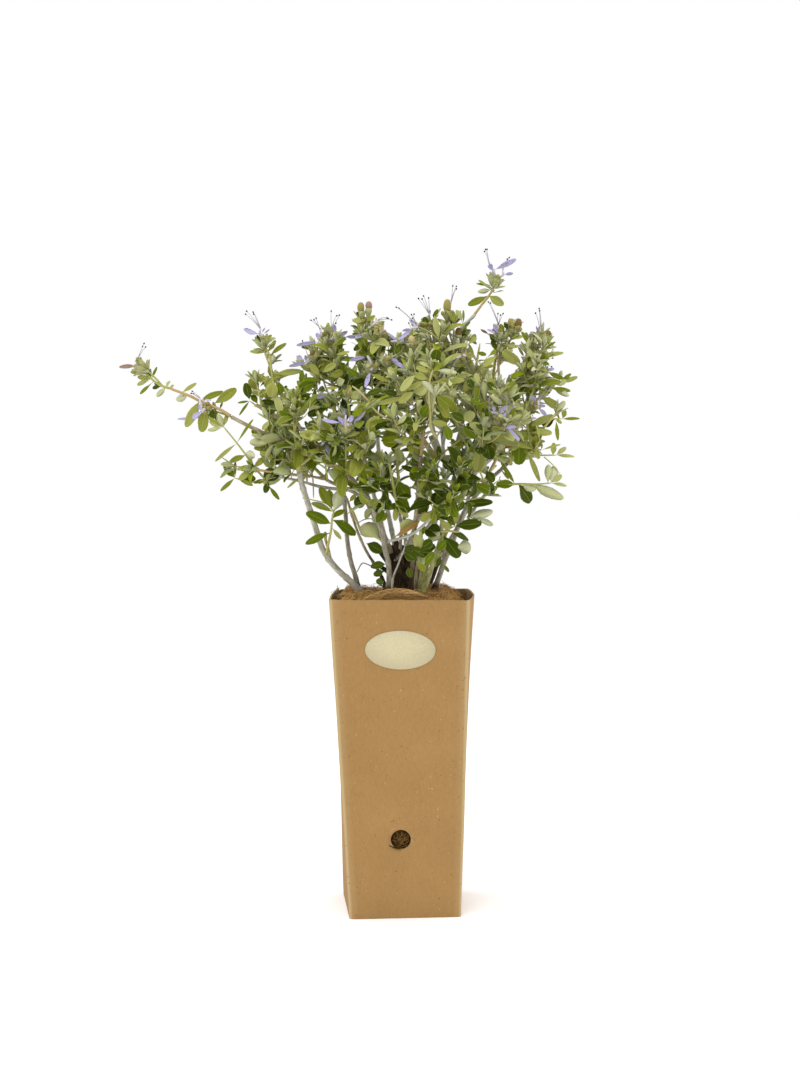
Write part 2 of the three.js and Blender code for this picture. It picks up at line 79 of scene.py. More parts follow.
def addNode(mat, kind, **values):
    node = mat.node_tree.nodes.new(kind)
    for key, value in values.items():
        name = key.replace("_", " ")
        if name in node.inputs:
            node.inputs[name].default_value = value
        else:
            setattr(node, key, value)
    return node


def wire(mat, start, end):
    mat.node_tree.links.new(start, end)


def placeOf(mat, scale=(1, 1, 1), uv=False):  # object or UV coordinates, stretched
    coords = addNode(mat, "ShaderNodeTexCoord")
    mapping = addNode(mat, "ShaderNodeMapping")
    mapping.inputs["Scale"].default_value = scale
    wire(mat, coords.outputs["UV" if uv else "Object"], mapping.inputs["Vector"])
    return mapping.outputs["Vector"]


def noiseAt(mat, place, scale, detail=3.0, roughness=0.55):
    node = addNode(mat, "ShaderNodeTexNoise", Scale=scale, Detail=detail, Roughness=roughness)
    wire(mat, place, node.inputs["Vector"])
    return node.outputs["Fac"]


def rampOf(mat, factor, stops):  # stops: (position, colour)
    node = addNode(mat, "ShaderNodeValToRGB")
    ramp = node.color_ramp
    ramp.interpolation = "EASE"
    while len(ramp.elements) < len(stops):
        ramp.elements.new(0.5)
    for element, (position, colour) in zip(ramp.elements, stops):
        element.position = position
        element.color = tint(*colour)
    wire(mat, factor, node.inputs["Fac"])
    return node.outputs["Color"]


def blendOf(mat, factor, first, second):
    node = addNode(mat, "ShaderNodeMix", data_type="RGBA", blend_type="MIX")
    for value, socket in ((factor, node.inputs[0]), (first, node.inputs[6]), (second, node.inputs[7])):
        if isinstance(value, (int, float, tuple)):
            socket.default_value = value
        else:
            wire(mat, value, socket)
    return node.outputs[2]


def colourFrom(mat, socket):
    wire(mat, socket, mat.node_tree.nodes["Principled BSDF"].inputs["Base Color"])


def reliefFrom(mat, socket, strength, distance):
    bump = addNode(mat, "ShaderNodeBump", Strength=strength, Distance=distance)
    wire(mat, socket, bump.inputs["Height"])
    wire(mat, bump.outputs["Normal"], mat.node_tree.nodes["Principled BSDF"].inputs["Normal"])


def stretched(mat, value, low, high):  # 0 where the value is low, 1 where it is high
    node = addNode(mat, "ShaderNodeMapRange", From_Min=low, From_Max=high)
    wire(mat, value, node.inputs["Value"])
    return node.outputs["Result"]


def cardMaterial(name, colour, darker, lighter, foldHighlightColour=None, depth=0.00006):
    mat = newMaterial(name, colour, 0.86, 0.22)
    even = placeOf(mat)
    broad = noiseAt(mat, even, 24, 2.0)
    fibre = noiseAt(mat, placeOf(mat, (150, 150, 70)), 3.2, 4.0, 0.7)
    base = rampOf(mat, broad, [(0.3, darker), (0.52, colour), (0.72, lighter)])
    base = blendOf(mat, 0.5, base, rampOf(mat, fibre, [(0.32, darker), (0.68, lighter)]))
    if foldHighlightColour:  # the mesh's attribute is 1 along the upright fold corners and 0 on the flat sides: there the card is painted paler, a painted highlight where the rounded corners catch the light
        foldHighlight = addNode(mat, "ShaderNodeAttribute", attribute_name="foldHighlight")
        base = blendOf(mat, foldHighlight.outputs["Fac"], base, tint(*foldHighlightColour))
    dark = stretched(mat, noiseAt(mat, even, 560, 2.0), 0.66, 0.76)
    pale = stretched(mat, noiseAt(mat, placeOf(mat, (1, 1, 0.7)), 520, 2.0), 0.68, 0.8)
    base = blendOf(mat, pale, blendOf(mat, dark, base, tint(116, 84, 50)), tint(188, 156, 110))
    colourFrom(mat, base)
    reliefFrom(mat, fibre, 0.35, depth)
    return mat


def barkMaterial(name, colour, darker, lighter, streak=0.5, shadedFoot=0):
    mat = newMaterial(name, colour, 0.85, 0.25)
    along = placeOf(mat, (1, 0.09, 1), uv=True)  # UV is millimetres round and along the stem
    streaks = noiseAt(mat, along, 2.1, 5.0, 0.65)
    patches = noiseAt(mat, placeOf(mat, (0.5, 0.22, 1), uv=True), 0.55, 2.0)
    base = rampOf(mat, patches, [(0.35, darker), (0.5, colour), (0.66, lighter)])
    base = blendOf(mat, streak, base, rampOf(mat, streaks, [(0.34, darker), (0.5, colour), (0.68, lighter)]))
    # the stem's foot near the ground is painted dark: painted shade under the crown, over older bark
    if shadedFoot:
        height = addNode(mat, "ShaderNodeSeparateXYZ")
        wire(mat, placeOf(mat, uv=True), height.inputs[0])
        foot = stretched(mat, height.outputs["Y"], shadedFoot * 1.3, shadedFoot * 0.6)
        base = blendOf(mat, foot, base, tint(58, 44, 26))
    colourFrom(mat, base)
    reliefFrom(mat, streaks, 0.6, 0.0002)
    return mat


def leafMaterial(name, colour, roughness=0.62, sheen=0.12, grain=0.0003, shine=0.32):
    mat = newMaterial(name, colour, roughness, shine, sheen)
    reliefFrom(mat, noiseAt(mat, placeOf(mat), 700, 3.0, 0.6), 0.45, grain)
    return mat


# shine: roughness and specular; grain: the noise's scale, detail and roughness; relief: strength and depth
def grainyMaterial(name, colour, shine, grain, stops, relief):
    mat = newMaterial(name, colour, *shine)
    pattern = noiseAt(mat, placeOf(mat), *grain)
    colourFrom(mat, rampOf(mat, pattern, stops))
    reliefFrom(mat, pattern, *relief)
    return mat


looks = {
    # the last colour is a painted highlight along the rounded upright fold corners
    "card": cardMaterial("kraftCard", (155, 120, 73), (150, 115, 69), (161, 126, 78), foldHighlightColour=(178, 154, 112)),
    "cardEdge": cardMaterial("cutEdge", (192, 164, 118), (160, 128, 84), (214, 192, 152)),
    "cardInside": cardMaterial("cardInside", (124, 100, 62), (78, 62, 34), (160, 138, 94)),
    "torn": cardMaterial("tornPly", (104, 96, 66), (58, 56, 36), (176, 168, 140)),
    "label": grainyMaterial(
        "labelPaper", (196, 184, 147), (0.5, 0.35), (700, 3.0),
        [(0.3, (191, 180, 143)), (0.7, (199, 188, 152))], (0.15, 0.00003)),
    "soil": grainyMaterial(
        "pottingMix", (58, 42, 26), (0.95, 0.06), (420, 5.0, 0.7),
        [(0.3, (20, 12, 4)), (0.5, (50, 33, 13)), (0.64, (90, 65, 32)), (0.72, (130, 102, 62))],
        (1.0, 0.0015)),
    "coir": grainyMaterial(
        "coirFelt", (140, 104, 66), (0.95, 0.15), (900, 6.0, 0.75),
        [(0.3, (108, 74, 32)), (0.5, (178, 134, 66)), (0.66, (210, 168, 96))], (1.0, 0.0012)),
}
barks = {  # colour, darker, lighter, how streaky, and how far up the foot is painted dark in millimetres: painted shade under the crown, over older bark
    "paleBark": ((171, 168, 152), (130, 123, 103), (202, 200, 187), 0.5, 0),
    "greyBark": ((150, 145, 128), (108, 98, 80), (184, 181, 166), 0.5, 8),
    "brownBark": ((154, 138, 110), (106, 90, 66), (190, 179, 154), 0.5, 34),
    "greenBark": ((158, 158, 98), (120, 120, 62), (192, 192, 142), 0.35, 0),
    # the stump's near-black wood: painted shade under the crown over the old wood's brown
    "oldWood": ((50, 37, 20), (20, 14, 6), (96, 78, 50), 0.5, 0),
}
for name, values in barks.items():
    looks[name] = barkMaterial(name, *values)
fineLooks = {  # colour, roughness and, where they aren't as for a leaf, sheen, grain and shine
    "twigPale": ((172, 164, 104), 0.8),
    "twigGreen": ((160, 160, 84), 0.75),
    "twigBrown": ((172, 148, 100), 0.8),
    "deadLeaf": ((72, 48, 28), 0.8),
    "calyx": ((158, 160, 108), 0.9, 0.25),
    "bud": ((142, 132, 66), 0.7),
    "cap": ((196, 176, 124), 0.8),
    "rust": ((112, 88, 46), 0.75),
    "petal": ((176, 168, 206), 0.7, 0.1),
    "petalDeep": ((148, 138, 190), 0.7, 0.1),
    "throat": ((196, 188, 200), 0.7),
    "stamen": ((160, 154, 162), 0.6),
    "anther": ((16, 15, 16), 0.7),
    "faded": ((150, 120, 104), 0.85),
    "root": ((122, 90, 48), 0.85, 0, 0.0003, 0.08),
    "rootDark": ((64, 40, 16), 0.9, 0, 0.0003, 0.08),
    "fibrePale": ((220, 182, 118), 0.8),
    "fibre": ((194, 148, 78), 0.8),
    "fibreDark": ((142, 102, 47), 0.8),
}
for name, values in fineLooks.items():
    looks[name] = leafMaterial(name, *values)
print("materials made")


# Building meshes from arrays

piles = {}  # piece name -> lists of points, faces, looks and UVs


def pileUp(piece, points, faces, faceLooks, uvs=None):
    pile = piles.setdefault(piece, {"points": [], "faces": [], "looks": [], "uvs": [], "count": 0})
    pile["points"].append(points)
    pile["faces"].append(np.where(faces >= 0, faces + pile["count"], -1))
    pile["looks"].append(np.broadcast_to(faceLooks, len(faces)))
    if uvs is not None:
        pile["uvs"].append(uvs)
    pile["count"] += len(points)


def finishPile(piece, lookNames, nodes=()):
    pile = piles[piece]
    points = np.concatenate(pile["points"]) * mm
    faces = np.concatenate(pile["faces"])
    real = faces >= 0
    sizes = real.sum(1)
    mesh = bpy.data.meshes.new(piece)
    mesh.vertices.add(len(points))
    mesh.vertices.foreach_set("co", points.astype(np.float32).ravel())
    mesh.loops.add(int(sizes.sum()))
    mesh.loops.foreach_set("vertex_index", faces[real].astype(np.int32))
    mesh.polygons.add(len(faces))
    starts = np.concatenate([[0], np.cumsum(sizes)[:-1]]).astype(np.int32)
    mesh.polygons.foreach_set("loop_start", starts)
    mesh.polygons.foreach_set("material_index", np.concatenate(pile["looks"]).astype(np.int32))
    mesh.polygons.foreach_set("use_smooth", np.full(len(faces), True))
    mesh.update(calc_edges=True)
    if pile["uvs"]:
        layer = mesh.uv_layers.new(name="bark")
        layer.data.foreach_set("uv", np.concatenate(pile["uvs"])[real].astype(np.float32).ravel())
    mesh.validate()
    dress(newPiece(piece, mesh), lookNames, nodes)


def dress(piece, lookNames, nodes=()):
    for name in lookNames:
        piece.data.materials.append(looks[name])
    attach(piece, root)
    if nodes:
        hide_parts(*nodes)


def unit(v):
    return v / np.maximum(np.linalg.norm(v, axis=-1, keepdims=True), 1e-9)


def mix(a, b, t):
    return a + (b - a) * t


def tapered(foot, tip, path):  # from the foot's thickness to the tip's, along a path
    return mix(foot, tip, np.linspace(0, 1, len(path)))


def smoothstep(x, low, high):
    t = np.clip((x - low) / (high - low), 0, 1)
    return t * t * (3 - 2 * t)


# Curves with three control points, as arrays
def pointAt(curve, t):
    a, b, c = curve
    t = np.asarray(t, float)[..., None]
    return (1 - t) ** 2 * a + 2 * t * (1 - t) * b + t * t * c


def tangentAt(curve, t):
    a, b, c = curve
    t = np.asarray(t, float)[..., None]
    return unit(2 * (1 - t) * (b - a) + 2 * t * (c - b))


def lengthOf(curve):
    path = pointAt(curve, np.linspace(0, 1, 9))
    return np.linalg.norm(np.diff(path, axis=0), axis=1).sum()


def outAt(along, angle):  # the way out from a line, at an angle round it
    side = unit(np.cross((0, 1, 0), along))
    return math.cos(angle) * side + math.sin(angle) * np.cross(along, side)


def turned(x, y, angle):
    cos, sin = math.cos(angle), math.sin(angle)
    return x * cos - y * sin, x * sin + y * cos


def wallsOf(steps, sides):  # the faces between the rings of a tube
    row, col = np.arange(steps - 1)[:, None] * sides, np.arange(sides)
    after = (col + 1) % sides
    return np.stack([row + col, row + after, row + sides + after, row + sides + col], 2).reshape(-1, 4)


def repeated(faces, count, step):  # the same faces on many copies of a shape of step points
    offsets = (np.arange(count) * step)[:, None, None]
    return np.where(faces[None] >= 0, faces[None] + offsets, -1).reshape(-1, 4)


def meshFrom(bm, name, smooth=True):
    for face in bm.faces:
        face.smooth = smooth
    mesh = bpy.data.meshes.new(name)
    bm.to_mesh(mesh)
    bm.free()
    return mesh


def newPiece(name, mesh):
    piece = bpy.data.objects.new(name, mesh)
    bpy.context.scene.collection.objects.link(piece)
    return piece


# A closed tapering tube along points. relief(angles, lengths) adds to the radius.
def tubeAlong(piece, path, radii, sides, look, relief=None, uvFrom=None):
    path = np.asarray(path, float)
    radii = np.broadcast_to(radii, len(path))
    along = unit(np.gradient(path, axis=0))
    side = unit(np.cross(along, (0.31, 0.2, 0.93) if abs(along[0][2]) < 0.9 else (1, 0.1, 0.2)))
    for i in range(1, len(path)):  # carry the first direction along, so that the tube doesn't twist
        side[i] = unit(side[i - 1] - along[i] * side[i - 1].dot(along[i]))
    lift = np.cross(along, side)
    angles = np.linspace(0, 2 * math.pi, sides, endpoint=False)
    lengths = np.concatenate([[0], np.cumsum(np.linalg.norm(np.diff(path, axis=0), axis=1))])
    radius = radii[:, None] + (relief(angles[None, :], lengths[:, None]) if relief else 0)
    rings = (path[:, None] + radius[..., None] * (np.cos(angles)[None, :, None] * side[:, None]
             + np.sin(angles)[None, :, None] * lift[:, None]))
    points = np.concatenate([rings.reshape(-1, 3), path[:1], path[-1:]])
    walls = wallsOf(len(path), sides)
    ends = np.arange(sides)
    last = (len(path) - 1) * sides
    foot = np.stack([(ends + 1) % sides, ends, np.full(sides, len(points) - 2), np.full(sides, -1)], 1)
    tip = np.stack([last + ends, last + (ends + 1) % sides, np.full(sides, len(points) - 1),
                    np.full(sides, -1)], 1)
    faces = np.concatenate([walls, foot, tip])
    uvs = None
    if uvFrom is not None:  # how far up the wood the tube starts, from which the bark paints its dark foot, the painted shade near the ground
        girth = 2 * math.pi * radii.mean()
        row, col = np.divmod(walls[:, 0], sides)
        across = np.stack([col, col + 1, col + 1, col], 1) / sides * girth
        down = np.stack([lengths[row], lengths[row], lengths[row + 1], lengths[row + 1]], 1) + uvFrom
        uvs = np.zeros((len(faces), 4, 2))
        uvs[:len(walls)] = np.stack([across, down], 2)
    pileUp(piece, points, faces, look, uvs)


# Blades: leaves, bracts and petals. Each is a closed shape from a ring of points at each station.
def bladeTemplate(stations, top, under):
    ring = [(s, 0) for s in top] + [(s, 1) for s in under]
    n = len(ring)
    inner = stations[1:-1]
    u = np.repeat(stations, [1] + [n] * len(inner) + [1])
    s, below = np.array([(0, 0)] + ring * len(inner) + [(0, 0)], float).T
    kinds = []
    for k in range(n):
        (a, belowA), (b, belowB) = ring[k], ring[(k + 1) % n]
        if belowA or belowB:
            kinds.append(3)
        elif max(abs(a), abs(b)) > 0.99:
            kinds.append(1)
        else:
            kinds.append(2 if abs(a) < 0.1 and abs(b) < 0.1 else 0)
    faces, faceKinds = [], []
    last = 1 + n * len(inner)
    for k in range(n):
        after = (k + 1) % n
        faces.append((0, 1 + after, 1 + k, -1))
        faceKinds.append(2 if kinds[k] < 3 else 3)
        for r in range(len(inner) - 1):
            a, b = 1 + r * n, 1 + (r + 1) * n
            faces.append((a + k, a + after, b + after, b + k))
            faceKinds.append(kinds[k])
        faces.append((last, last - n + k, last - n + after, -1))
        faceKinds.append(kinds[k])
    return {"u": u, "s": s, "below": below, "faces": np.array(faces), "kinds": np.array(faceKinds)}


fullLeaf = bladeTemplate([0, 0.08, 0.18, 0.34, 0.52, 0.7, 0.86, 0.96, 1],
                         [-1, -0.88, -0.45, -0.05, 0.05, 0.45, 0.88, 1], [0])
smallLeaf = bladeTemplate([0, 0.12, 0.3, 0.55, 0.8, 0.96, 1], [-1, -0.87, -0.06, 0.06, 0.87, 1], [0])
petalBlade = bladeTemplate([0, 0.1, 0.28, 0.48, 0.68, 0.86, 0.96, 1], [-1, -0.55, 0, 0.55, 1], [0])


def halfWidthAt(u, stalk, blunt):  # share of the half width along a blade
    v = np.clip((u - stalk) / (1 - stalk), 0, 1)
    body = np.sin(math.pi * v ** blunt) ** mix(1.0, 0.42, v)
    return np.maximum(body, 0.11 * (1 - smoothstep(u, 0.5, 1.0)))


# spec holds, for each property of the blades, one value or an array with one for each of them
def growBlades(piece, template, spec, lookOf):
    count = len(spec["root"])
    if not count:
        return

    def get(key, normal=0.0):
        return np.broadcast_to(np.asarray(spec.get(key, normal), float), count)[:, None]

    u, s, below = template["u"][None], template["s"][None], template["below"][None]
    length, width = get("length"), get("width")
    bend, fold, wave = get("bend"), get("fold", 0.2), get("wave")
    half = width / 2 * halfWidthAt(u, get("stalk", 0.14), get("blunt", 0.85))
    x = length * u * (1 - (bend * u) ** 2 / 6)
    edge = np.abs(s)
    z = -length * bend * u ** 2 / 2 + half * edge * fold
    z = z - half * 0.45 * get("curl", 0.6) * np.maximum(edge - 0.55, 0) ** 1.5
    z = z - half * 0.1 * np.maximum(0, 1 - edge / 0.3)
    z = z + width * 0.08 * wave * np.sin(u * 9 + get("phase")) * edge
    thick = get("thick", 0.35) * (1 - smoothstep(u, 0.8, 1.0) * 0.6)
    z = z - below * thick * (1.15 - 0.4 * edge)
    turn = get("twist") * u
    y, z = half * s * np.cos(turn), z + half * s * np.sin(turn)
    way, across = unit(np.asarray(spec["way"])), unit(np.asarray(spec["across"]))
    top = np.cross(way, across)
    points = (np.asarray(spec["root"])[:, None] + x[..., None] * way[:, None]
              + y[..., None] * across[:, None] + z[..., None] * top[:, None])
    allLooks = np.tile(np.asarray(lookOf)[template["kinds"]], count)
    pileUp(piece, points.reshape(-1, 3), repeated(template["faces"], count, points.shape[1]), allLooks)


# The plan of the plant, as in its solids. foot, bend and centre stand above the ground. bark and
# broad are for the looks: broad is how wide and dark the leaves are, from 0 to 1.
ground = 260.0
gap = 0.42
seed = 3
limbTable = [
    ("far_left", (-9, -7, 32), (-29, -21, 106), (2.5, 1.4), (-174, -24, 163), (60, 26, 27), 0, "brown", 0.45),
    ("left_low", (-15, -15), (-38, -18, 92), (1.9, 1.3), (-104, -26, 98), (40, 32, 34), 0.1, "brown", 0.7),
    ("left_upper", (-8, 3, 35), (-56, 10, 92), (2.2, 1.5), (-102, -4, 166), (38, 36, 50), 1, "pale", 0.45),
    ("left_mid", (-36, -6), (-76, -14, 39), (3, 2.4), (-84, -40, 128), (42, 36, 38), 0.4, "pale", 0.65),
    ("upper_left", (-33, 5), (-48, 2, 78), (2.4, 1.7), (-56, -12, 172), (36, 38, 46), 1, "grey", 0.4),
    ("mid_left_front", (-8, -21), (-26, -42, 60), (2, 1.5), (-38, -62, 124), (38, 34, 44), 0.7, "grey", 0.6),
    ("lower_left", ("left_mid", 0.3), (-62, -18, 48), (1.4, 1.2), (-54, -36, 66), (32, 30, 30), 0.6, "green",
     0.9),
    ("top_left", (-4, 2, 34), (-20, 0, 104), (2.3, 1.6), (-20, -8, 186), (34, 36, 50), 1, "pale", 0.3),
    ("top_centre", (29, 11), (38, 10, 100), (2.7, 1.8), (28, 0, 184), (34, 36, 50), 1, "pale", 0.3),
    ("top_right_spray", ("top_centre", 0.75), (42, -2, 196), (1.6, 1.4), (71, -6, 245), (26, 22, 28), 0.5,
     "pale", 0.5),
    ("upper_right", (37, 5), (60, 6, 92), (2.5, 1.7), (76, 6, 172), (34, 36, 46), 1, "pale", 0.35),
    ("right_top", ("upper_right", 0.62), (88, -6, 122), (1.7, 1.4), (108, -10, 168), (32, 36, 48), 0.9,
     "pale", 0.3),
    ("right_mid", (32, -8), (58, -18, 82), (2.4, 1.6), (108, -28, 124), (37, 36, 36), 0.4, "grey", 0.4),
    ("right_low", ("right_mid", 0.42), (66, -36, 70), (1.6, 1.3), (98, -40, 86), (38, 34, 30), 0, "grey",
     0.55),
    ("centre_front", (8, -23), (12, -52, 74), (2, 1.5), (20, -68, 150), (40, 36, 50), 0.8, "brown", 0.35),
    ("centre_low", (-1, -7, 34), (2, -30, 54), (1.8, 1.5), (-6, -62, 86), (38, 36, 34), 0.5, "grey", 0.85),
    ("right_front_low", (-5, -5, 26), (16, -34, 46), (1.5, 1.3), (42, -60, 86), (38, 36, 36), 0.4, "grey",
     0.85),
    ("mid_right", (26, -18), (46, -38, 68), (2.1, 1.5), (70, -56, 136), (36, 36, 42), 0.7, "green", 0.5),
    ("lower_right", ("mid_right", 0.15), (36, -36, 28), (1.5, 1.3), (52, -44, 48), (30, 30, 26), 0.3,
     "green", 0.95),
    ("rear_left_low", (-8, 22), (-34, 32, 66), (2.3, 1.6), (-86, 44, 112), (44, 38, 42), 0.4, "grey", 0.7),
    ("rear_left_top", (-3, 31), (-26, 44, 98), (2.2, 1.6), (-54, 50, 176), (40, 40, 48), 1, "pale", 0.4),
    ("rear_low", (6, 24), (4, 52, 54), (2.2, 1.6), (-4, 82, 104), (42, 38, 42), 0.4, "grey", 0.75),
    ("rear_top", (4, 5, 35), (6, 26, 98), (2.2, 1.6), (6, 62, 176), (40, 40, 48), 0.9, "pale", 0.4),
    ("rear_right_low", (22, 24), (52, 34, 60), (2.3, 1.6), (82, 46, 108), (42, 38, 42), 0.4, "brown", 0.7),
    ("rear_right_top", (14, 31), (40, 46, 98), (2.2, 1.6), (62, 54, 172), (40, 38, 46), 1, "pale", 0.4),
]
growth = {"entry": 0.8, "shootReach": 0.75, "longestShoot": 48, "shortestShoot": 8, "rows": 3.5,
          "leafReach": 1.16, "nodeGaps": (15.0, 13.5, 10.5)}  # on leaders, shoots and fine shoots
# How thickly a mass is grown and how much of its height it fills; the others are at (1, 1). The masses
# at 0 have only the leaves that are placed one by one below.
cover = {"far_left": (0, 1), "top_right_spray": (0, 1), "lower_left": (0, 1), "lower_right": (0, 1),
         "left_low": (0.45, 0.8), "left_upper": (0.75, 0.85), "left_mid": (0.85, 1), "right_low": (0, 1),
         "right_mid": (0.85, 1), "centre_low": (0.8, 1), "right_front_low": (0.8, 1)}
up = np.array((0.0, 0.0, 1.0))


def chance(*keys):
    weights = (12.9898, 78.233, 37.719, 93.989)
    wave = math.sin(sum((key + seed) * weight for key, weight in zip(keys, weights))) * 43758.5453
    return wave - math.floor(wave)


def reachFrom(p, way, limb):  # distance from p to the surface of the mass's ellipsoid, along way
    start = (np.asarray(p) - limb["centre"]) / limb["half"]
    step = way / limb["half"]
    a, b, c = step.dot(step), start.dot(step), start.dot(start) - 1
    return (math.sqrt(max(0, b * b - a * c)) - b) / a


def aboveGround(p):
    return np.array((p[0], p[1], (p[2] if len(p) > 2 else gap) + ground), float)


def layOutLimb(row, earlier):
    name, foot, bend, thick, centre, half, lift, bark, broad = row
    limb = {"centre": aboveGround(centre), "half": np.array(half, float), "thick": thick,
            "bark": f"{bark}Bark", "broad": broad}
    bend = aboveGround(bend)
    way = unit(limb["centre"] - bend)
    tip = limb["centre"] - growth["entry"] * reachFrom(limb["centre"], -way, limb) * way
    parent = earlier.get(foot[0])
    start = pointAt(parent["curve"], foot[1]) if parent else aboveGround(foot)
    limb["curve"] = np.array((start, bend, tip))
    limb["onGround"] = parent is None and len(foot) == 2
    along = tangentAt(limb["curve"], 1)
    first = tip + gap * along
    heading = unit(way + lift * up)
    end = limb["centre"] + growth["shootReach"] * reachFrom(limb["centre"], heading, limb) * heading
    middle = first + 0.45 * np.linalg.norm(end - first) * along
    limb["leader"] = np.array((first, middle, end))
    limb["share"], tall = cover.get(name, (1, 1))
    limb["half"] *= (1, 1, tall)
    return limb


limbs = {}
for row in limbTable:
    limbs[row[0]] = layOutLimb(row, limbs)
names = list(limbs)

# Each mass keeps to its own side of a plane between it and every other mass.
for name, limb in limbs.items():
    others = [limbs[n] for n in names if n != name]
    away = np.array([o["centre"] - limb["centre"] for o in others])
    far = np.linalg.norm(away, axis=1)
    weights = np.array([o["half"].mean() ** 2 for o in others])
    limb["normals"] = away / far[:, None]
    limb["limits"] = (far ** 2 + limb["half"].mean() ** 2 - weights) / (2 * far)

stretchEnds = []  # limbs and leaders as short straight stretches, to keep foliage off them
for k, limb in enumerate(limbs.values()):
    for which, path in enumerate((limb["curve"], limb["leader"])):
        line = pointAt(path, np.linspace(0, 1, 15))
        for i in range(14):
            radius = mix(*limb["thick"], i / 14) if which == 0 else limb["thick"][1]
            own = k if which == 1 or i == 13 else -1
            stretchEnds.append((*line[i], *line[i + 1], radius, own))
stretchEnds = np.array(stretchEnds)


def inside(limb, points, spare, reach=1.0):
    away = np.atleast_2d(points) - limb["centre"]
    near = np.linalg.norm(away / limb["half"], axis=1) < reach
    return (near & (away @ limb["normals"].T < limb["limits"] - spare).all(1)).all()


def clearOf(number, points, spare):
    a, b = stretchEnds[:, :3], stretchEnds[:, 3:6]
    delta = b - a
    offset = np.atleast_2d(points)[:, None] - a
    t = np.clip((offset * delta).sum(2) / (delta ** 2).sum(1), 0, 1)
    away = np.linalg.norm(offset - t[..., None] * delta, axis=2)
    return ((away > stretchEnds[:, 6] + spare) | (stretchEnds[:, 7] == number)).all()


# Places read off the photograph: across and down in its pixels, and how far back in millimetres
def seenAt(px, py, back):
    scale = view["pixelSize"] * (1 + back / view["distance"])
    return np.array(((px - view["middle"]) * scale, back, view["height"] - (py - view["level"]) * scale))


def smoothPath(points, step=3.0):  # a smooth line through a few points
    points = np.asarray(points, float)
    padded = np.concatenate([2 * points[:1] - points[1:2], points, 2 * points[-1:] - points[-2:-1]])
    out = []
    for i in range(1, len(padded) - 2):
        p0, p1, p2, p3 = padded[i - 1:i + 3]
        count = max(2, int(np.linalg.norm(p2 - p1) / step))
        for t in np.linspace(0, 1, count, endpoint=False):
            out.append(0.5 * (2 * p1 + (p2 - p0) * t + (2 * p0 - 5 * p1 + 4 * p2 - p3) * t ** 2
                              + (3 * p1 - p0 - 3 * p2 + p3) * t ** 3))
    out.append(points[-1])
    return np.array(out)


def seenFrom(points):  # where points stand in the photograph, in its pixels
    scale = view["pixelSize"] * (1 + points[..., 1] / view["distance"])
    across = view["middle"] + points[..., 0] / scale
    return np.stack([across, view["level"] - (points[..., 2] - view["height"]) / scale], -1)


# Openings where the photograph shows sky: across, down, half width and half height in its pixels
skyGaps = np.array([
    (236, 340, 24, 34), (238, 372, 6, 14), (252, 411, 10, 8), (288, 335, 13, 28), (292, 381, 8, 4.5),
    (262, 366, 6, 6), (262, 384, 3, 4), (318, 300, 28, 14), (346, 316, 8, 16), (352, 342, 3, 8),
    (350, 364, 6, 4), (330, 383, 6, 5), (372, 386, 3, 3), (344, 403, 5, 4), (354, 402, 3, 4),
    (328, 357, 2, 3), (303, 423, 4, 4), (321, 442, 3, 5), (382, 447, 4, 6), (392, 312, 14, 14),
    (436, 300, 10, 9), (467, 304, 8, 17), (484, 318, 10, 9), (481, 343, 9, 13), (506, 371, 5, 9),
    (494, 371, 5, 5), (473, 340, 4, 9), (352, 358, 5, 4), (340, 320, 9, 9), (310, 325, 12, 14),
    (404, 313, 9, 8), (392, 326, 8, 5), (349, 344, 8, 5), (309, 374, 6, 3), (291, 381, 9, 6),
    (380, 447, 9, 4), (385, 441, 3, 7), (288, 362, 8, 6), (262, 358, 5, 5), (384, 316, 12, 7),
    (441, 306, 5, 7), (413, 478, 4, 7), (402, 462, 3, 4), (378, 444, 6, 4), (556, 468, 6, 6),
    (563, 432, 8, 8), (500, 470, 4, 6), (530, 478, 6, 6), (556, 365, 8, 5), (505, 305, 16, 10),
    (516, 354, 5, 7), (527, 318, 7, 13), (526, 332, 2.5, 6), (566, 340, 16, 10), (562, 361, 12, 7),
    (560, 402, 8, 4), (537, 413, 4, 4), (548, 428, 7, 3), (577, 400, 10, 12), (410, 402, 4, 3),
    (440, 432, 5, 2.5), (454, 362, 3, 2.5), (526, 399, 3, 3), (405, 447, 5, 7), (428, 446, 5, 8),
    (548, 437, 6, 3), (549, 449, 4, 5), (575, 440, 14, 14), (516, 470, 11, 9), (493, 465, 4, 4),
    (549, 464, 4, 5), (578, 470, 10, 12), (508, 500, 14, 11), (545, 520, 40, 17), (520, 548, 62, 36),
    (565, 505, 25, 12), (465, 514, 4, 5), (453, 519, 2.5, 5), (410, 480, 4, 5), (402, 470, 4, 5),
    (255, 500, 45, 14), (275, 530, 60, 25), (225, 440, 22, 22), (258, 470, 5, 4), (293, 474, 5, 5),
    (311, 482, 4, 12), (372, 495, 3, 4), (365, 514, 6, 6), (530, 469, 8, 12), (543, 466, 7, 9),
    (486, 346, 9, 8), (476, 325, 7, 9), (240, 386, 6, 10), (300, 352, 6, 6), (311, 336, 7, 4),
    (405, 326, 7, 9), (253, 363, 5, 5), (333, 390, 6, 4), (394, 470, 4, 7), (434, 336, 7, 4),
    (509, 463, 6, 4), (548, 448, 5, 6), (484, 507, 8, 3), (294, 487, 6, 4), (428, 306, 9, 9),
    (438, 306, 5, 10), (352, 341, 5, 9), (550, 333, 4, 5), (419, 312, 7, 6), (458, 303, 6, 7),
    (284, 360, 7, 8), (243, 378, 5, 6), (501, 291, 7, 3), (482, 335, 5, 6), (549, 411, 9, 13)])


skySpare = 1.5  # pixels that leaves keep off an opening


def inSky(points):
    away = (seenFrom(np.atleast_2d(points))[:, None] - skyGaps[:, :2]) / (skyGaps[:, 2:] + skySpare)
    return ((away ** 2).sum(2) < 1).any()


def pairAt(curve, t, quarterTurns):
    along = tangentAt(curve, t)
    return along, [outAt(along, half + math.pi / 2 * quarterTurns) for half in (0, math.pi)]


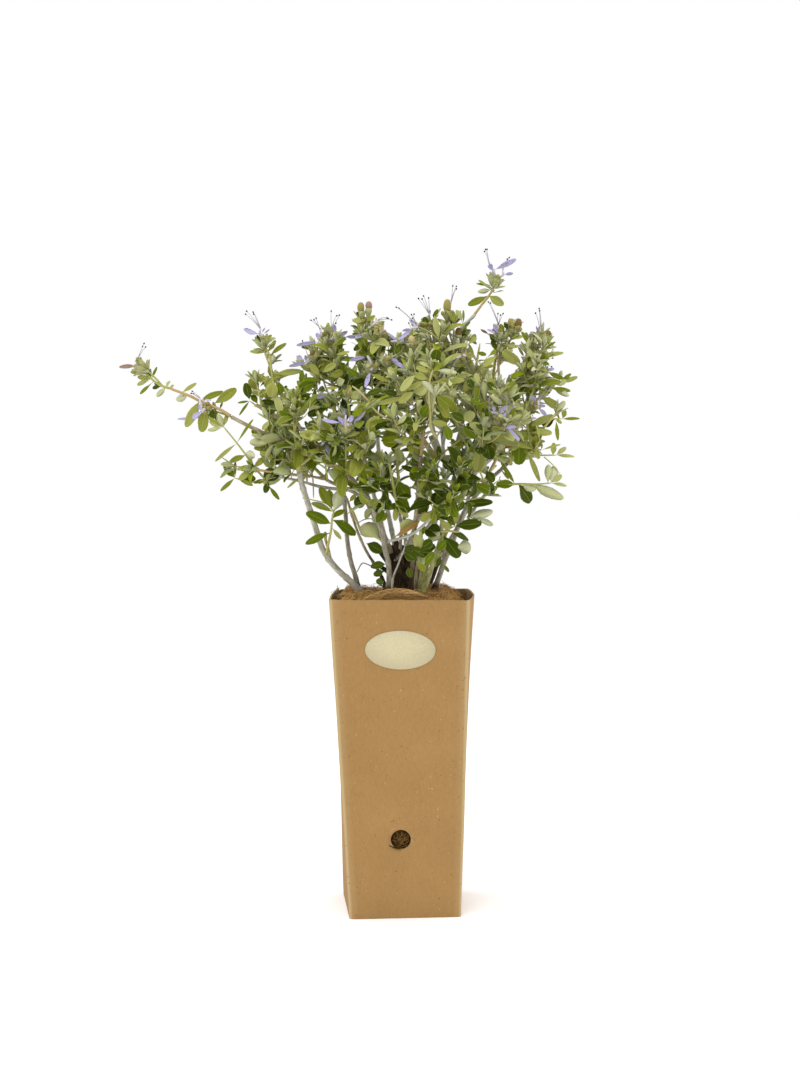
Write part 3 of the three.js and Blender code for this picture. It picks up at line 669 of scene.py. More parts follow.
def sideShoot(limb, number, parent, t, along, out, lean, longest):
    start = pointAt(parent, t)
    slope = unit(out + lean * along)
    heading = unit(slope + (0.3 + 0.5 * (1 - limb["broad"])) * up)
    room = min(longest, growth["shootReach"] * reachFrom(start, heading, limb))
    for share in (1, 0.8, 0.6, 0.4):
        length = room * share
        curve = np.array((start, start + slope * length / 2, start + heading * length))
        line = pointAt(curve, np.array((0.5, 0.75, 1.0)))
        fits = inside(limb, line[-1], 1.5) and clearOf(number, line, 1.6)
        if length > growth["shortestShoot"] and fits and not inSky(line[1:]):
            return curve
    return None


# Leaves are dealt into kinds by the shoot that bears them. Each kind is one piece of the model.
leafKinds = {
    "leaves_deep": (60, 74, 2),
    "leaves_green": (90, 106, 8),
    "leaves_mid": (112, 120, 26),
    "leaves_olive": (130, 134, 44),
    "leaves_sage": (144, 147, 66),
    "leaves_grey": (158, 161, 92),
    "leaves_pale": (179, 181, 132),
    # painted light: leaves coloured yellow-green as if lit through from behind
    "leaves_bright": (132, 144, 18),
    "leaves_old": (146, 112, 50),
}
paler = {"Margin": ((212, 213, 170), 0.28), "Rib": ((204, 206, 148), 0.26), "Under": ((188, 191, 154), 0.52)}
for name, blade in leafKinds.items():
    green = 1 - max(0, min(1, (blade[2] - 10) / 60))  # 1 for a bare green face, 0 for a felted grey one
    looks[name] = leafMaterial(name, blade, sheen=0.12 * (1 - green), shine=0.3 - 0.22 * green)
    for part, (pale, share) in paler.items():
        shade = tuple(float(v) for v in mix(np.array(blade, float), np.array(pale, float), share))
        looks[name + part] = leafMaterial(name + part, shade, 0.85, 0.25 if part == "Under" else 0.12)
leafLists = {(kind, size): [] for kind in leafKinds for size in ("full", "small")}
rng = np.random.default_rng(11)
wood = []  # centre lines of all stems and twigs, so that sprays can be joined to them


def nearestWood(point, reach=60):  # the closest point on a stem or twig that is already there
    best = (reach, None)
    for path, radii in wood:
        away = np.linalg.norm(path - point, axis=1)
        i = int(away.argmin())
        if away[i] < best[0]:
            best = (away[i], path[i])
    return best[1]


def addTwig(curve, thick, kind, sides=5, step=5.0):
    path = pointAt(curve, np.linspace(0, 1, max(4, int(lengthOf(curve) / step) + 1)))
    radii = tapered(*thick, path)
    radii[-1] *= 0.5
    tubeAlong(f"twigs_{kind}", path, radii, sides, 0)
    wood.append((path, radii))


crown = {"centre": np.array((-12.0, 0.0, 385.0)), "half": np.array((125.0, 95.0, 125.0))}
kindTops = {"deep": 0.16, "green": 0.32, "mid": 0.46, "olive": 0.6, "sage": 0.74, "grey": 0.88}


def leafKindFor(young, place):  # inside the crown the leaves are dealt darker kinds: painted shade of the crown's inside, on older leaves
    deal = young + rng.normal(0, 0.17)
    out = np.linalg.norm((place - crown["centre"]) / crown["half"])
    deal = mix(min(deal, 0.1), deal, float(smoothstep(out, 0.45, 0.85)))
    if out < 0.85 and place[2] < 420 and rng.random() < 0.025:
        return "leaves_old"
    # a few leaves get the colour of light shining through them: painted light
    if rng.random() < 0.07:
        return "leaves_bright"
    for kind, top in kindTops.items():
        if deal < top:
            return f"leaves_{kind}"
    return "leaves_pale"


def addLeaf(kind, start, out, along, spread, lean, length, breadth, roll, bend=None):
    way = unit(out * spread + along * lean)
    top = unit(np.cross(way, unit(np.cross(along, way))) + 0.45 * up)
    across = unit(np.cross(top, way))
    across = unit(across * math.cos(roll) + np.cross(way, across) * math.sin(roll))
    size = "full" if length > 11 else "small"
    leafLists[kind, size].append({
        "root": start, "way": way, "across": across, "length": length, "width": length * breadth,
        "bend": rng.normal(0.55, 0.45) if bend is None else bend, "fold": rng.uniform(0.1, 0.65),
        "wave": rng.uniform(0, 1), "phase": rng.uniform(0, 6.28), "twist": rng.normal(0, 0.3),
        "stalk": rng.uniform(0.08, 0.15), "blunt": rng.uniform(0.85, 1.1),
        "curl": rng.uniform(0.2, 1.0), "thick": 0.38 if length > 11 else 0.3})


def leafFits(limb, number, start, out, along, spread, lean, length, breadth):
    way = unit(out * spread + along * lean)
    across = unit(np.cross(along, way)) * breadth * length * 0.5
    points = start + way * length * np.array((0.45, 0.75, 1.0))[:, None]
    sides = np.concatenate([points, points[:1] + across, points[:1] - across])
    away = np.linalg.norm((sides - limb["centre"]) / limb["half"], axis=1)
    return (away < growth["leafReach"]).all() and clearOf(number, points, 0.3) and not inSky(points)


def leafyShoot(limb, number, curve, order, young, room=True, size=1.0):
    length = lengthOf(curve)
    spacing = growth["nodeGaps"][order] * rng.uniform(0.88, 1.12)
    nodes = max(1, round(length / spacing))
    kind = leafKindFor(young, pointAt(curve, 0.8))
    turnStart = rng.uniform(0, 2)
    broad = np.clip(limb["broad"] + rng.normal(0, 0.08), 0, 1)
    for node in range(1, nodes + 1):
        t = min(node / nodes, 0.97) if order else mix(0.04, 0.97, node / nodes)
        along, outs = pairAt(curve, t, node + turnStart)
        grown = mix(1.0, 0.66, t ** 1.6) * size
        base = mix(27, 24, broad) * grown * (0.8 if order == 2 else 1.0)
        spread, lean = mix(1.4, 0.75, t), mix(0.55, 1.1, t)
        if rng.random() < 0.22:
            kind = leafKindFor(young + 0.15 * t, pointAt(curve, t))
        for out in outs:
            wanted = base * rng.uniform(0.78, 1.22)
            breadth = mix(0.26, 0.58, broad) * mix(1.06, 0.84, t) * rng.uniform(0.88, 1.12)
            for share, tilt in ((1, 1), (0.85, 1.9), (0.7, 0.6), (0.6, 2.2)):
                leaf = (pointAt(curve, t), out, along, spread, lean * tilt, wanted * share)
                reach = unit(out * spread + along * lean * tilt) * wanted * share
                if leafFits(limb, number, *leaf, breadth) if room else not inSky(leaf[0] + reach * 0.7):
                    addLeaf(kind, *leaf, breadth, rng.normal(0, 0.5))
                    break
            if order < 2 and t < 0.9 and rng.random() < 0.3:  # a tuft of young leaves in the axil
                tuft(limb, pointAt(curve, t), unit(out + 0.9 * along), young, room)
    end = pointAt(curve, 1.0)
    along = tangentAt(curve, 1.0)
    if inSky(end + 6 * along):
        return
    for i in range(4):  # the growing tip
        out = outAt(along, turnStart + i * math.pi / 2)
        addLeaf(leafKindFor(young + 0.2, end), end - along * 0.5, out, along, 0.35 + 0.12 * (i % 2), 1.0,
                rng.uniform(8, 13) * (0.8 if order == 2 else 1.1), 0.33, 0, 0.1)


def tuft(limb, start, heading, young, room=True):
    length = rng.uniform(2.5, 5)
    kind = leafKindFor(young + 0.15, start)
    for i in range(rng.integers(3, 6)):
        out = outAt(heading, i * math.pi / 2 + rng.normal(0, 0.2))
        size = rng.uniform(7, 12)
        base = start + heading * length * (0.4 + 0.2 * (i // 2))
        fits = not room or inside(limb, base + heading * size, 0.2, growth["leafReach"])
        if fits and not inSky(base + heading * size):
            addLeaf(kind, start + heading * 0.4, out, heading, 0.7, 1.2, size + length,
                    0.3 + 0.12 * limb["broad"], rng.normal(0, 0.3))


def growMass(number, limb):
    leader, thin = limb["leader"], limb["thick"][1]
    height = (limb["centre"][2] - ground - 60) / 120
    young = np.clip(0.5 * height + 0.4 * (0.75 - limb["broad"]), 0, 0.66)
    twigKind = "pale" if limb["broad"] < 0.5 else "green"
    if not limb["share"]:
        return
    addTwig(leader, (thin, 0.9), "brown" if limb["bark"] == "brownBark" else twigKind, 7, 4)
    leafyShoot(limb, number, leader, 0, young)
    for row in np.arange(0, growth["rows"], 0.5):
        t = mix(0.08, 0.7, row / 3)
        along, outs = pairAt(leader, t, row + 0.6 * chance(number, row, 0, 0))
        for turn, out in enumerate(outs):
            lean = 0.1 + 0.5 * chance(number, row, turn, 1)
            longest = growth["longestShoot"] * (1 if row % 1 == 0 else 0.7)
            curve = sideShoot(limb, number, leader, t, along, out, lean, longest)
            if curve is None or rng.random() > limb["share"] * (1 if row % 1 == 0 else 0.45):
                continue
            thick = mix(thin, 0.9, t) * 0.6
            addTwig(curve, (thick, 0.55), twigKind)
            leafyShoot(limb, number, curve, 1, young + 0.08)
            if lengthOf(curve) < 22:
                continue
            for s in (0.35, 0.66):
                along2, outs2 = pairAt(curve, s, rng.uniform(0, 2))
                for out2 in outs2:
                    fine = sideShoot(limb, number, curve, s, along2, out2, 0.6, lengthOf(curve) * 0.55)
                    if fine is not None and rng.random() < 0.42 * limb["share"]:
                        addTwig(fine, (thick * 0.55, 0.45), "green", 4)
                        leafyShoot(limb, number, fine, 2, young + 0.15)


for number, limb in enumerate(limbs.values()):
    growMass(number, limb)
print("shoots grown", len(wood), "leaves", sum(len(v) for v in leafLists.values()))


# Stems with relief: lengthwise ridges, swollen nodes and small scars
def stemRelief(key, thick):
    def relief(angle, length):
        ridge = 0.07 * np.cos(4 * angle + key) + 0.035 * np.cos(9 * angle + 0.13 * length + key)
        nodes = np.exp(-((length + 5 * key) % 21 - 10.5) ** 2 / 1.6) * 0.22
        rough = np.sin(length * 1.9 + 5 * np.cos(angle + key)) * np.cos(3 * angle + 0.4 * length) * 0.05
        return (ridge + nodes + rough) * thick
    return relief


# Where the stems that show run in the photograph, from foot to tip, and their share of the solid's thickness
shownStems = {
    "far_left": (1.0, [(391, 553, -7), (386, 541, -9), (378, 524, -12), (366, 500, -14), (350, 477, -16),
        (321, 459, -19), (295, 448, -20), (270, 436, -22), (245, 424, -23), (232, 417, -23)]),
    "left_mid": (0.88, [(360, 592, -6), (352, 583, -8), (338, 570, -10), (327, 557, -12), (321, 546, -14),
        (315, 527, -17), (307, 500, -22), (302, 484, -27)]),
    "rear_left_low": (0.75, [(390, 590, 22), (388, 568, 24), (385, 548, 26), (380, 530, 29), (372, 512, 32),
        (360, 496, 35)]),
    "rear_top": (0.8, [(406, 549, 5), (418, 520, 12), (427, 490, 20), (428, 470, 26), (428, 448, 33)]),
    "top_right_spray": (0.85, [(443, 446, 7), (446, 420, 4), (449, 390, 1), (452, 362, -2), (454, 344, -4),
        (458, 333, -5), (465, 324, -5), (470, 320, -5), (475, 315, -5)]),
    "left_upper": (0.85, [(391, 549, 3), (384, 537, 2), (377, 522, 1), (369, 505, 0), (358, 488, -1),
        (343, 474, 0), (325, 455, 3)]),
    "upper_left": (0.86, [(359, 592, 5), (355, 575, 4), (351, 562, 4), (347, 540, 3), (345, 512, 1),
        (343, 477, -1), (340, 452, -4)]),
    "left_low": (0.62, [(386, 592, -15), (383, 580, -16), (376, 567, -16), (367, 552, -17), (358, 532, -18),
        (351, 513, -18), (345, 496, -19), (332, 482, -20)]),
    "mid_left_front": (1.1, [(388, 594, -21), (389, 578, -24), (388, 562, -27), (384, 548, -31),
        (383, 535, -35), (378, 520, -40), (371, 504, -46)]),
    "top_centre": (0.7, [(424, 591, 11), (429, 576, 11), (435, 556, 10), (441, 536, 10), (444, 486, 9),
        (443, 446, 7)]),
    "upper_right": (0.7, [(434, 591, 5), (438, 579, 5), (442, 566, 5), (446, 552, 5), (452, 540, 6),
        (462, 519, 6), (469, 494, 6), (478, 456, 6)]),
    "right_mid": (0.9, [(434, 591, -8), (438, 580, -9), (442, 569, -10), (446, 557, -12), (452, 545, -13),
        (456, 533, -14), (466, 509, -17), (487, 483, -21)]),
    "mid_right": (1.0, [(422.5, 593, -18), (427, 580, -20), (431, 569, -23), (435, 558, -25),
        (439.5, 546, -29), (445, 534, -33), (457, 512, -38), (466, 489, -42)]),
    "lower_right": (1.0, [(434, 566, -22), (438, 560, -27), (441, 553, -34)]),
    "right_low": (0.9, [(468, 518, -17), (475, 508, -23), (484, 496, -31), (495, 487, -37)]),
    "rear_right_low": (0.75, [(427, 589, 24), (433, 577, 25), (442, 552, 28), (452, 536, 31),
        (463, 518, 34)]),
}
for key, (name, limb) in enumerate(limbs.items()):
    if name in shownStems:
        share, places = shownStems[name]
        end = [limb["curve"][2]] if limb["share"] else []
        path = smoothPath([seenAt(*place) for place in places] + end, 2.2)
    else:
        share = 0.86
        path = pointAt(limb["curve"], np.linspace(0, 1, max(10, int(lengthOf(limb["curve"]) / 2.2))))
        if limb["onGround"]:
            path[0] -= up * 1.5
    t = np.linspace(0, math.pi, len(path))
    path = path + np.outer(np.sin(t * 3 + key) * 0.5 * np.sin(t), (0.7, 0.7, 0))
    radii = tapered(*limb["thick"], path) * share
    if limb["onGround"]:
        radii = radii + 1.1 * np.exp(-np.linspace(0, len(path) * 2.2, len(path)) / 4)
    tubeAlong(f"stems_{limb['bark']}", path, radii, 14, 0, stemRelief(key, limb["thick"][1]),
              uvFrom=0 if limb["onGround"] else 60)
    wood.append((path, radii))
print("stems made")


# Twigs that show: points across, down and back, thickness at foot and tip, and the kind of twig or bark
showingTwigs = [
    ([(392, 590, -30), (393, 578, -32), (398, 565, -38), (403, 552, -44), (407, 541, -45)], (0.9, 0.6),
     "paleBark"),
    ([(386, 541, -9), (390, 541, -36), (412, 534, -46), (430, 519, -49), (445, 504, -48), (460, 490, -46)],
     (1.4, 1.0), "paleBark"),
    ([(383, 535, -14), (377, 524, -14), (373, 518, -14)], (2.6, 1.6), "paleBark"),
    ([(350, 508, -20), (353, 512, -20), (358, 524, -21), (361, 533, -22)], (1.3, 0.9), "pale"),
    ([(420, 592, -14), (421, 578, -15), (423, 566, -16), (427, 552, -18)], (2.1, 1.6), "greenBark"),
    ([(415, 592, -12), (416, 578, -13), (418, 562, -14), (419, 550, -14)], (2.0, 1.4), "brownBark"),
    ([(347, 490, -6), (322, 487, -12), (300, 481, -18), (280, 477.5, -22), (266, 480, -25)], (1.5, 0.9),
     "paleBark"),
    ([(446, 462, -24), (435, 436, -22), (430, 405, -20)], (1.7, 1.2), "paleBark"),
    ([(437, 438, -76), (431, 428, -80), (430, 410, -84), (429, 395, -86), (430, 380, -87), (433, 370, -87)],
     (1.2, 0.8), "pale"),
    ([(392, 421, -76), (378, 413, -78), (368, 401, -79), (360, 392, -78), (352, 386, -76)], (0.9, 0.7),
     "pale"),
    ([(465, 348, -14), (466, 360, -18), (468, 372, -18)], (1.0, 0.8), "pale"),
    ([(500, 352, -9), (498, 362, -10), (499, 382, -10)], (1.2, 1.0), "brown"),
    ([(371, 566, -14), (363, 563, -18), (360, 566, -20), (357, 572, -22)], (0.55, 0.4), "brownBark"),
    ([(441, 458, -10), (436, 447, -8), (431, 436, -6)], (2.6, 2.4), "greyBark"),
    ([(425, 440, -20), (431, 448, -21), (438, 457, -22)], (0.9, 0.8), "brown"),
    ([(311, 468, -18), (313, 480, -19), (313.5, 498, -20)], (0.7, 0.45), "brown"),
    ([(334, 512, -31), (327, 504, -30), (313, 500, -29), (302, 498, -29)], (0.7, 0.4), "pale"),
    ([(421, 592, -16), (424, 578, -17), (427, 566, -18), (430, 555, -19)], (2.0, 1.4), "greenBark"),
    ([(263, 410, -18), (257, 406, -20), (250, 401, -23)], (0.9, 0.5), "brown"),
    ([(441, 531, -44), (450, 531, -45), (460, 532, -45)], (1.1, 0.7), "pale"),
    ([(379, 519, -16), (366, 519, -22), (356, 524, -26)], (0.5, 0.35), "paleBark"),
    ([(231, 416, -23), (220, 409.5, -23), (200, 401, -23), (190, 396, -24), (170, 388.5, -24)], (1.35, 1.1),
     "brown"),
    ([(170, 388.5, -24), (160, 385, -24), (150, 377, -24), (143, 370, -24)], (1.1, 0.8), "green"),
    ([(266, 480, -25), (254, 467, -26), (246, 455, -26), (237, 443, -26), (224, 427, -26)], (1.0, 0.6),
     "green"),
    ([(266, 480, -25), (250, 482, -27), (235, 478, -28)], (0.9, 0.6), "green"),
    ([(300, 452, -22), (297, 434, -24), (290, 418, -25), (281, 415, -25), (276, 404, -25)], (1.4, 1.0),
     "green"),
    ([(277, 404, -12), (273, 380, -10), (270, 356, -8), (264, 346, -6)], (1.0, 0.8), "green"),
    ([(326, 554, -14), (328, 545, -20), (331, 530, -27), (332, 519, -30), (334, 510, -31)], (1.2, 0.8),
     "pale"),
    ([(495, 487, -38), (515, 484, -40), (536, 484, -41), (551, 483, -42)], (1.1, 0.6), "green"),
    ([(520, 452, -34), (540, 455, -36), (556, 455, -37)], (1.0, 0.6), "green"),
    ([(544, 457, -36), (552, 464, -36), (560, 474, -35)], (0.5, 0.35), "green"),
    ([(540, 424, -30), (552, 419, -30), (562, 419, -30)], (0.8, 0.5), "green"),
    ([(540, 384, -18), (548, 384, -18), (558, 384, -18)], (0.8, 0.5), "green"),
    ([(439, 552, -38), (442, 542, -40), (444, 532, -42), (455, 526, -43)], (0.9, 0.6), "green"),
    ([(448, 512, -40), (456, 506, -42), (466, 505, -43)], (0.9, 0.6), "green"),
]
for k, (places, thick, kind) in enumerate(showingTwigs):
    path = smoothPath([seenAt(*p) for p in places], 2.2)
    radii = tapered(*thick, path)
    if kind.endswith("Bark"):
        tubeAlong(f"stems_{kind}", path, radii, 9, 0, stemRelief(k + 30, thick[1]), uvFrom=60)
    else:
        radii[-1] *= 0.5
        tubeAlong(f"twigs_{kind}", path, radii, 7, 0)
    wood.append((path, radii))
spray = limbs["top_right_spray"]["curve"]
path = smoothPath([spray[2], seenAt(484, 302, -5), seenAt(490, 294, -6), seenAt(493.5, 287, -6)], 2.2)
tubeAlong("twigs_brown", path, tapered(1.2, 0.6, path), 7, 0)
wood.append((path, np.full(len(path), 1.0)))

# Leaves that stand out against the sky or between the stems, by the mass they belong to. Each row is the
# foot, the tip and the width in the photograph's pixels, below 0 where the under side shows, and the kind.
deep, green, mid, olive, sage, grey, pale, backlit, old = leafKinds
# Some leaves of the deep kind stand where shade falls inside curled leaves and between leaves: painted shade.
shownLeaves = {
    "far_left": (-23, [
        (201, 399, 224, 390, 6, mid), (214, 401, 237, 389, 9, olive), (199, 401, 186, 427, 9, sage),
        (206, 407, 199, 433, 11, olive), (188, 393, 177, 400, -8, pale), (183, 392, 197, 383, 4, sage),
        (168, 389, 157, 397, -5, grey), (166, 388, 170, 380, 3, grey), (169, 389, 174, 385, 2.5, grey),
        (162, 387, 155, 383, 4, deep), (162, 389, 153, 388, 4, deep), (151, 384, 140, 394, 3.5, mid),
        (150, 384, 137, 385, 4.5, grey), (151, 382, 138, 377, 5, sage), (147, 377, 131, 371, 4.5, sage),
        (150, 377, 148, 366, 4, deep), (147, 375, 143, 367, 5, green), (154, 377, 158, 366, 2.5, green),
        (152, 380, 147, 370, 4, olive), (143, 374, 135, 368, 4, olive), (212, 407, 213, 421, 5, deep),
        (216, 408, 217, 421, 4.5, mid), (223, 427, 218, 414, -6, grey), (224, 426, 228, 413, 4, sage),
        (222, 428, 208, 431, -4, grey), (222, 427, 209, 421, 6, grey), (215, 425, 208, 418, 4, olive),
        (222, 409, 223, 402, 2, green)]),
    "left_low": (-26, [
        (237, 443, 214, 461, 3.6, sage), (238, 441, 253, 419, 3, mid), (245, 454, 229, 461, 6, mid),
        (240, 457, 256, 456, -7.5, pale), (254, 467, 267, 456, 5.5, olive), (250, 467, 239, 480, 6, sage),
        (235, 479, 220, 491, 4, mid), (233, 478, 224, 465, 7, green), (234, 477, 235, 461, 3, mid),
        (238, 480, 256, 478, 8, green), (262, 481, 273, 468, 9, deep), (266, 483, 279, 473, 9, deep),
        (268, 482, 265, 493, 6, deep), (270, 486, 279, 500, 4, green), (267, 483, 254, 482, 4, green),
        (270, 444, 250, 442, -10, grey), (253, 429, 261, 439, 5, backlit), (283, 452, 260, 452, 5.5, sage),
        (284, 448, 268, 443, 9, deep), (292, 456, 288, 471, 13, mid), (300, 472, 287, 488, 2.5, sage),
        (250, 401, 239, 415, 2.6, green), (251, 400, 238, 403, 2.4, green), (277, 409, 262, 414, 6, deep),
        (268, 417, 263, 430, 5, grey), (272, 418, 273, 433, 8, olive), (295, 434, 285, 448, 8, green),
        (237, 482, 253, 485, 4, olive)]),
    "left_upper": (-9, [
        (267, 353, 250, 351, 4.5, sage), (271, 353, 287, 342, 4.5, mid), (269, 351, 276, 340, 4.5, olive),
        (273, 365, 273, 355, -8, pale), (276, 374, 302, 371, 6, sage), (270, 384, 252, 377, 5.5, sage),
        (258, 382, 254, 370, 6, grey), (250, 400, 246, 383, 8, deep), (274, 380, 283, 372, 4, olive),
        (268, 350, 259, 343, 4, olive), (273, 378, 266, 387, 8, sage), (259, 384, 270, 375, 3, sage),
        (260, 391, 250, 379, 9, olive), (260, 387, 270, 377, 2.5, mid), (272, 385, 266, 400, 11, sage),
        (258, 404, 252, 394, 6, green), (277, 408, 262, 401, 6, deep), (262, 400, 264, 389, 6, olive)]),
    "right_mid": (-26, [
        (528, 357, 564, 350, 5, sage), (514, 372, 503, 351, 11, sage), (516, 345, 524, 357, 2.5, sage),
        (531, 350, 521, 343, 3.5, mid), (546, 352, 555, 342, 2.5, mid), (549, 371, 564, 380, 5, mid),
        (561, 382, 570, 374, 3.5, mid), (562, 384, 577, 377, 4.5, sage), (560, 382, 561, 370, -4, grey),
        (557, 386, 566, 380, 5, grey), (549, 388, 571, 391, 4.5, mid), (550, 389, 569, 399, -6, pale),
        (546, 376, 555, 386, 3, grey), (542, 395, 562, 410, 8, sage), (562, 420, 566, 408, 5, olive),
        (561, 419, 580, 418, 3, mid), (555, 418, 540, 425, 9, deep), (524, 430, 553, 415, 7, sage),
        (528, 405, 527, 395, 5, green), (524, 410, 527, 422, 10, deep), (513, 379, 532, 364, 7.5, green),
        (536, 393, 517, 390, 7, mid), (535, 394, 533, 378, 11, backlit), (552, 418, 562, 408, 2.5, grey),
        (552, 405, 560, 419, 2.2, mid), (555, 418, 562, 424, 3, sage), (531, 434, 541, 448, 8, mid)]),
    "right_low": (-38, [
        (519, 440, 519, 465, 15, green), (525, 435, 539, 459, 7, sage), (533, 437, 551, 431, 8, sage),
        (540, 440, 560, 443, 2.6, sage), (527, 456, 541, 482, 5, sage), (553, 457, 554, 442, 5.5, sage),
        (556, 456, 575, 456, 3.6, grey), (555, 455, 566, 447, 5, grey), (557, 422, 558, 440, 4, mid),
        (549, 482, 548, 465, -7, grey), (550, 482, 555, 466, -9, pale), (552, 482, 562, 475, 5.5, grey),
        (551, 484, 568, 485, 3.4, grey), (517, 484, 534, 503, 13, deep), (534, 482, 563, 501, -10, grey),
        (520, 483, 536, 490, -8, pale), (514, 484, 501, 462, 4, mid), (515, 485, 496, 484, 8, green),
        (500, 469, 511, 480, 2.4, mid)]),
    "lower_right": (-42, [
        (457, 525, 482, 523, 10, deep), (442, 533, 460, 557, 13, deep), (450, 539, 471, 539, 7, deep),
        (457, 547, 472, 547, -13, pale), (468, 518, 493, 511, -9, pale), (477, 517, 493, 526, -5.5, pale),
        (462, 506, 493, 501, 8, deep), (470, 514, 475, 502, 6, mid), (444, 565, 449, 572, 3.5, green),
        (440, 499, 437, 520, 9, deep), (447, 520, 446, 505, 9, deep), (441, 536, 425, 527, 14, deep),
        (440, 528, 430, 540, -9, grey), (425, 552, 420, 566, -9, sage), (455, 528, 449, 515, 8, mid)]),
    "lower_left": (-30, [
        (331, 524, 305, 511, 10, green), (329, 519, 357, 534, 12, green), (329, 537, 305, 543, 8, green),
        (335, 511, 342, 489, -12, pale), (331, 510, 320, 487, 9, mid), (333, 512, 311, 503, 4, mid),
        (330, 509, 312, 504, -6, pale), (340, 521, 344, 508, 8, backlit), (368, 498, 353, 505, 11, deep),
        (349, 502, 356, 494, 4, olive), (374, 542, 363, 524, -18, sage), (366, 543, 383, 551, 10, deep),
        (377, 521, 387, 513, 8, backlit), (334, 528, 341, 539, 4, grey), (333, 508, 329, 489, 8, backlit)]),
    "centre_low": (-52, [
        (378, 483, 371, 492, 8, deep), (384, 485, 409, 492, 13, green), (411, 499, 424, 485, 13, grey),
        (396, 495, 408, 507, 10, green), (394, 509, 381, 499, 10, deep), (403, 503, 394, 512, 9, deep),
        (411, 516, 426, 497, 15, deep), (388, 513, 376, 521, 8, green), (417, 521, 400, 527, 10, grey),
        (400, 504, 408, 518, 6, sage), (412, 534, 422, 550, 10, grey), (433, 475, 450, 498, 9, deep),
        (443, 457, 457, 466, 12, deep), (473, 452, 452, 470, 9, olive), (480, 449, 477, 472, 13, sage),
        (490, 442, 490, 460, 13, deep), (463, 491, 477, 478, 10, green), (476, 480, 496, 494, 10, green),
        (386, 564, 370, 566, 8, deep), (385, 571, 373, 575, 6, deep), (408, 567, 411, 578, 6, deep),
        (428, 528, 420, 535, 6, green), (418, 552, 436, 545, 9, deep), (436, 499, 444, 512, 8, green),
        (418, 481, 411, 470, 9, green), (346, 462, 338, 472, 9, sage), (352, 458, 345, 474, 10, olive),
        (362, 462, 369, 479, 11, backlit), (383, 464, 378, 450, 10, grey), (375, 456, 360, 450, 10, grey),
        (402, 462, 396, 448, 8, grey), (392, 430, 388, 447, 14, backlit), (412, 438, 416, 450, 14, green),
        (408, 443, 420, 456, 8, sage), (500, 446, 515, 438, 8, old), (393, 538, 420, 521, 5, old),
        (416, 556, 430, 551, 8, deep), (424, 566, 434, 552, 7, green), (416, 562, 426, 571, 6, mid),
        (429, 566, 431, 556, 5, mid), (441, 556, 437, 567, 5, deep), (421, 549, 432, 541, 9, deep),
        (428, 506, 441, 492, 10, deep), (430, 516, 440, 503, 9, mid), (424, 491, 436, 482, 9, green),
        (430, 512, 421, 521, 8, sage), (438, 512, 431, 524, 8, mid), (447, 540, 437, 550, 8, green),
        (404, 512, 394, 520, 7, sage), (462, 470, 470, 484, 9, backlit), (426, 462, 436, 470, 9, mid),
        (486, 470, 494, 482, 9, deep), (424, 458, 424, 450, 5, backlit), (436, 462, 430, 449, 5, sage),
        (428, 462, 440, 456, 5, olive), (418, 469, 401, 466, 6, deep), (424, 464, 411, 458, 5, green),
        (445, 468, 432, 478, 10, deep), (428, 509, 419, 518, 6, old), (448, 521, 438, 509, 9, deep),
        (441, 519, 450, 529, 7, sage), (455, 524, 457, 507, 5, sage), (428, 534, 421, 541, 5, grey),
        (418, 561, 405, 552, 10, deep), (425, 556, 411, 548, 9, deep), (403, 557, 414, 546, 8, deep),
        (397, 484, 410, 500, 13, green), (399, 501, 410, 512, 9, deep), (384, 582, 376, 582, 7, deep)]),
    "centre_front": (-86, [
        (429, 384, 413, 391, 14, grey), (428, 379, 413, 374, 6, sage), (424, 380, 406, 389, 5, sage),
        (416, 374, 400, 391, 7, grey), (414, 391, 399, 403, 7, sage), (436, 362, 437, 350, 10, deep),
        (433, 372, 444, 361, 4, backlit), (438, 369, 457, 373, -5, pale), (441, 379, 450, 372, -5, pale),
        (434, 383, 465, 380, 6, sage), (436, 384, 457, 394, 8, grey), (437, 386, 453, 402, -5, pale),
        (436, 391, 457, 412, 12, mid), (438, 396, 448, 418, 9, olive), (433, 412, 443, 419, 6, deep),
        (429, 403, 421, 416, 8, green), (450, 413, 464, 419, 9, deep), (431, 427, 447, 424, 6, sage),
        (446, 424, 450, 440, 8, green), (402, 428, 405, 417, 5, pale), (404, 427, 414, 420, 9, deep),
        (430, 371, 415, 367, 5, sage), (428, 368, 419, 361, 4, grey)]),
    "upper_left": (-42, [
        (279, 381, 281, 394, 8, green), (274, 381, 271, 398, 11, sage), (316, 382, 298, 390, 11, green),
        (312, 393, 296, 405, 10, deep), (328, 412, 307, 414, 9.5, deep), (292, 418, 308, 403, 9, sage),
        (283, 417, 276, 395, 7, grey), (319, 380, 303, 379, 4, green), (323, 379, 335, 378, 3, deep),
        (331, 412, 337, 402, 9, deep), (341, 361, 357, 358, 4, green), (344, 368, 359, 376, 6, green),
        (336, 355, 350, 352, 3, sage), (320, 376, 310, 364, 6, sage), (322, 373, 336, 364, 6, sage),
        (328, 378, 345, 371, 7, olive), (340, 388, 326, 388, 3, sage), (347, 391, 331, 397, 4, mid),
        (363, 396, 349, 395, 9, grey), (345, 380, 336, 384, 8, pale), (288, 404, 296, 402, 2, deep),
        (289, 397, 294, 388, 4, mid), (284, 389, 288, 385, 2.5, deep), (283, 412, 292, 405, 6, deep),
        (335, 347, 346, 338, 4, green)]),
    "mid_left_front": (-78, [
        (365, 397, 382, 389, 6, deep), (382, 391, 398, 394, 6, deep), (374, 405, 402, 398, 5, sage),
        (370, 374, 388, 381, 4, olive), (379, 415, 366, 428, 8, sage), (389, 428, 370, 428, 8, deep),
        (388, 424, 372, 422, 4, green), (348, 440, 360, 431, 5, sage), (354, 439, 368, 431, 6, mid),
        (343, 451, 359, 446, 6, mid), (339, 449, 320, 435, 8, green), (369, 453, 354, 456, 8, sage),
        (363, 410, 352, 415, 6, backlit), (368, 403, 357, 408, 4, olive)]),
    "mid_right": (-72, [
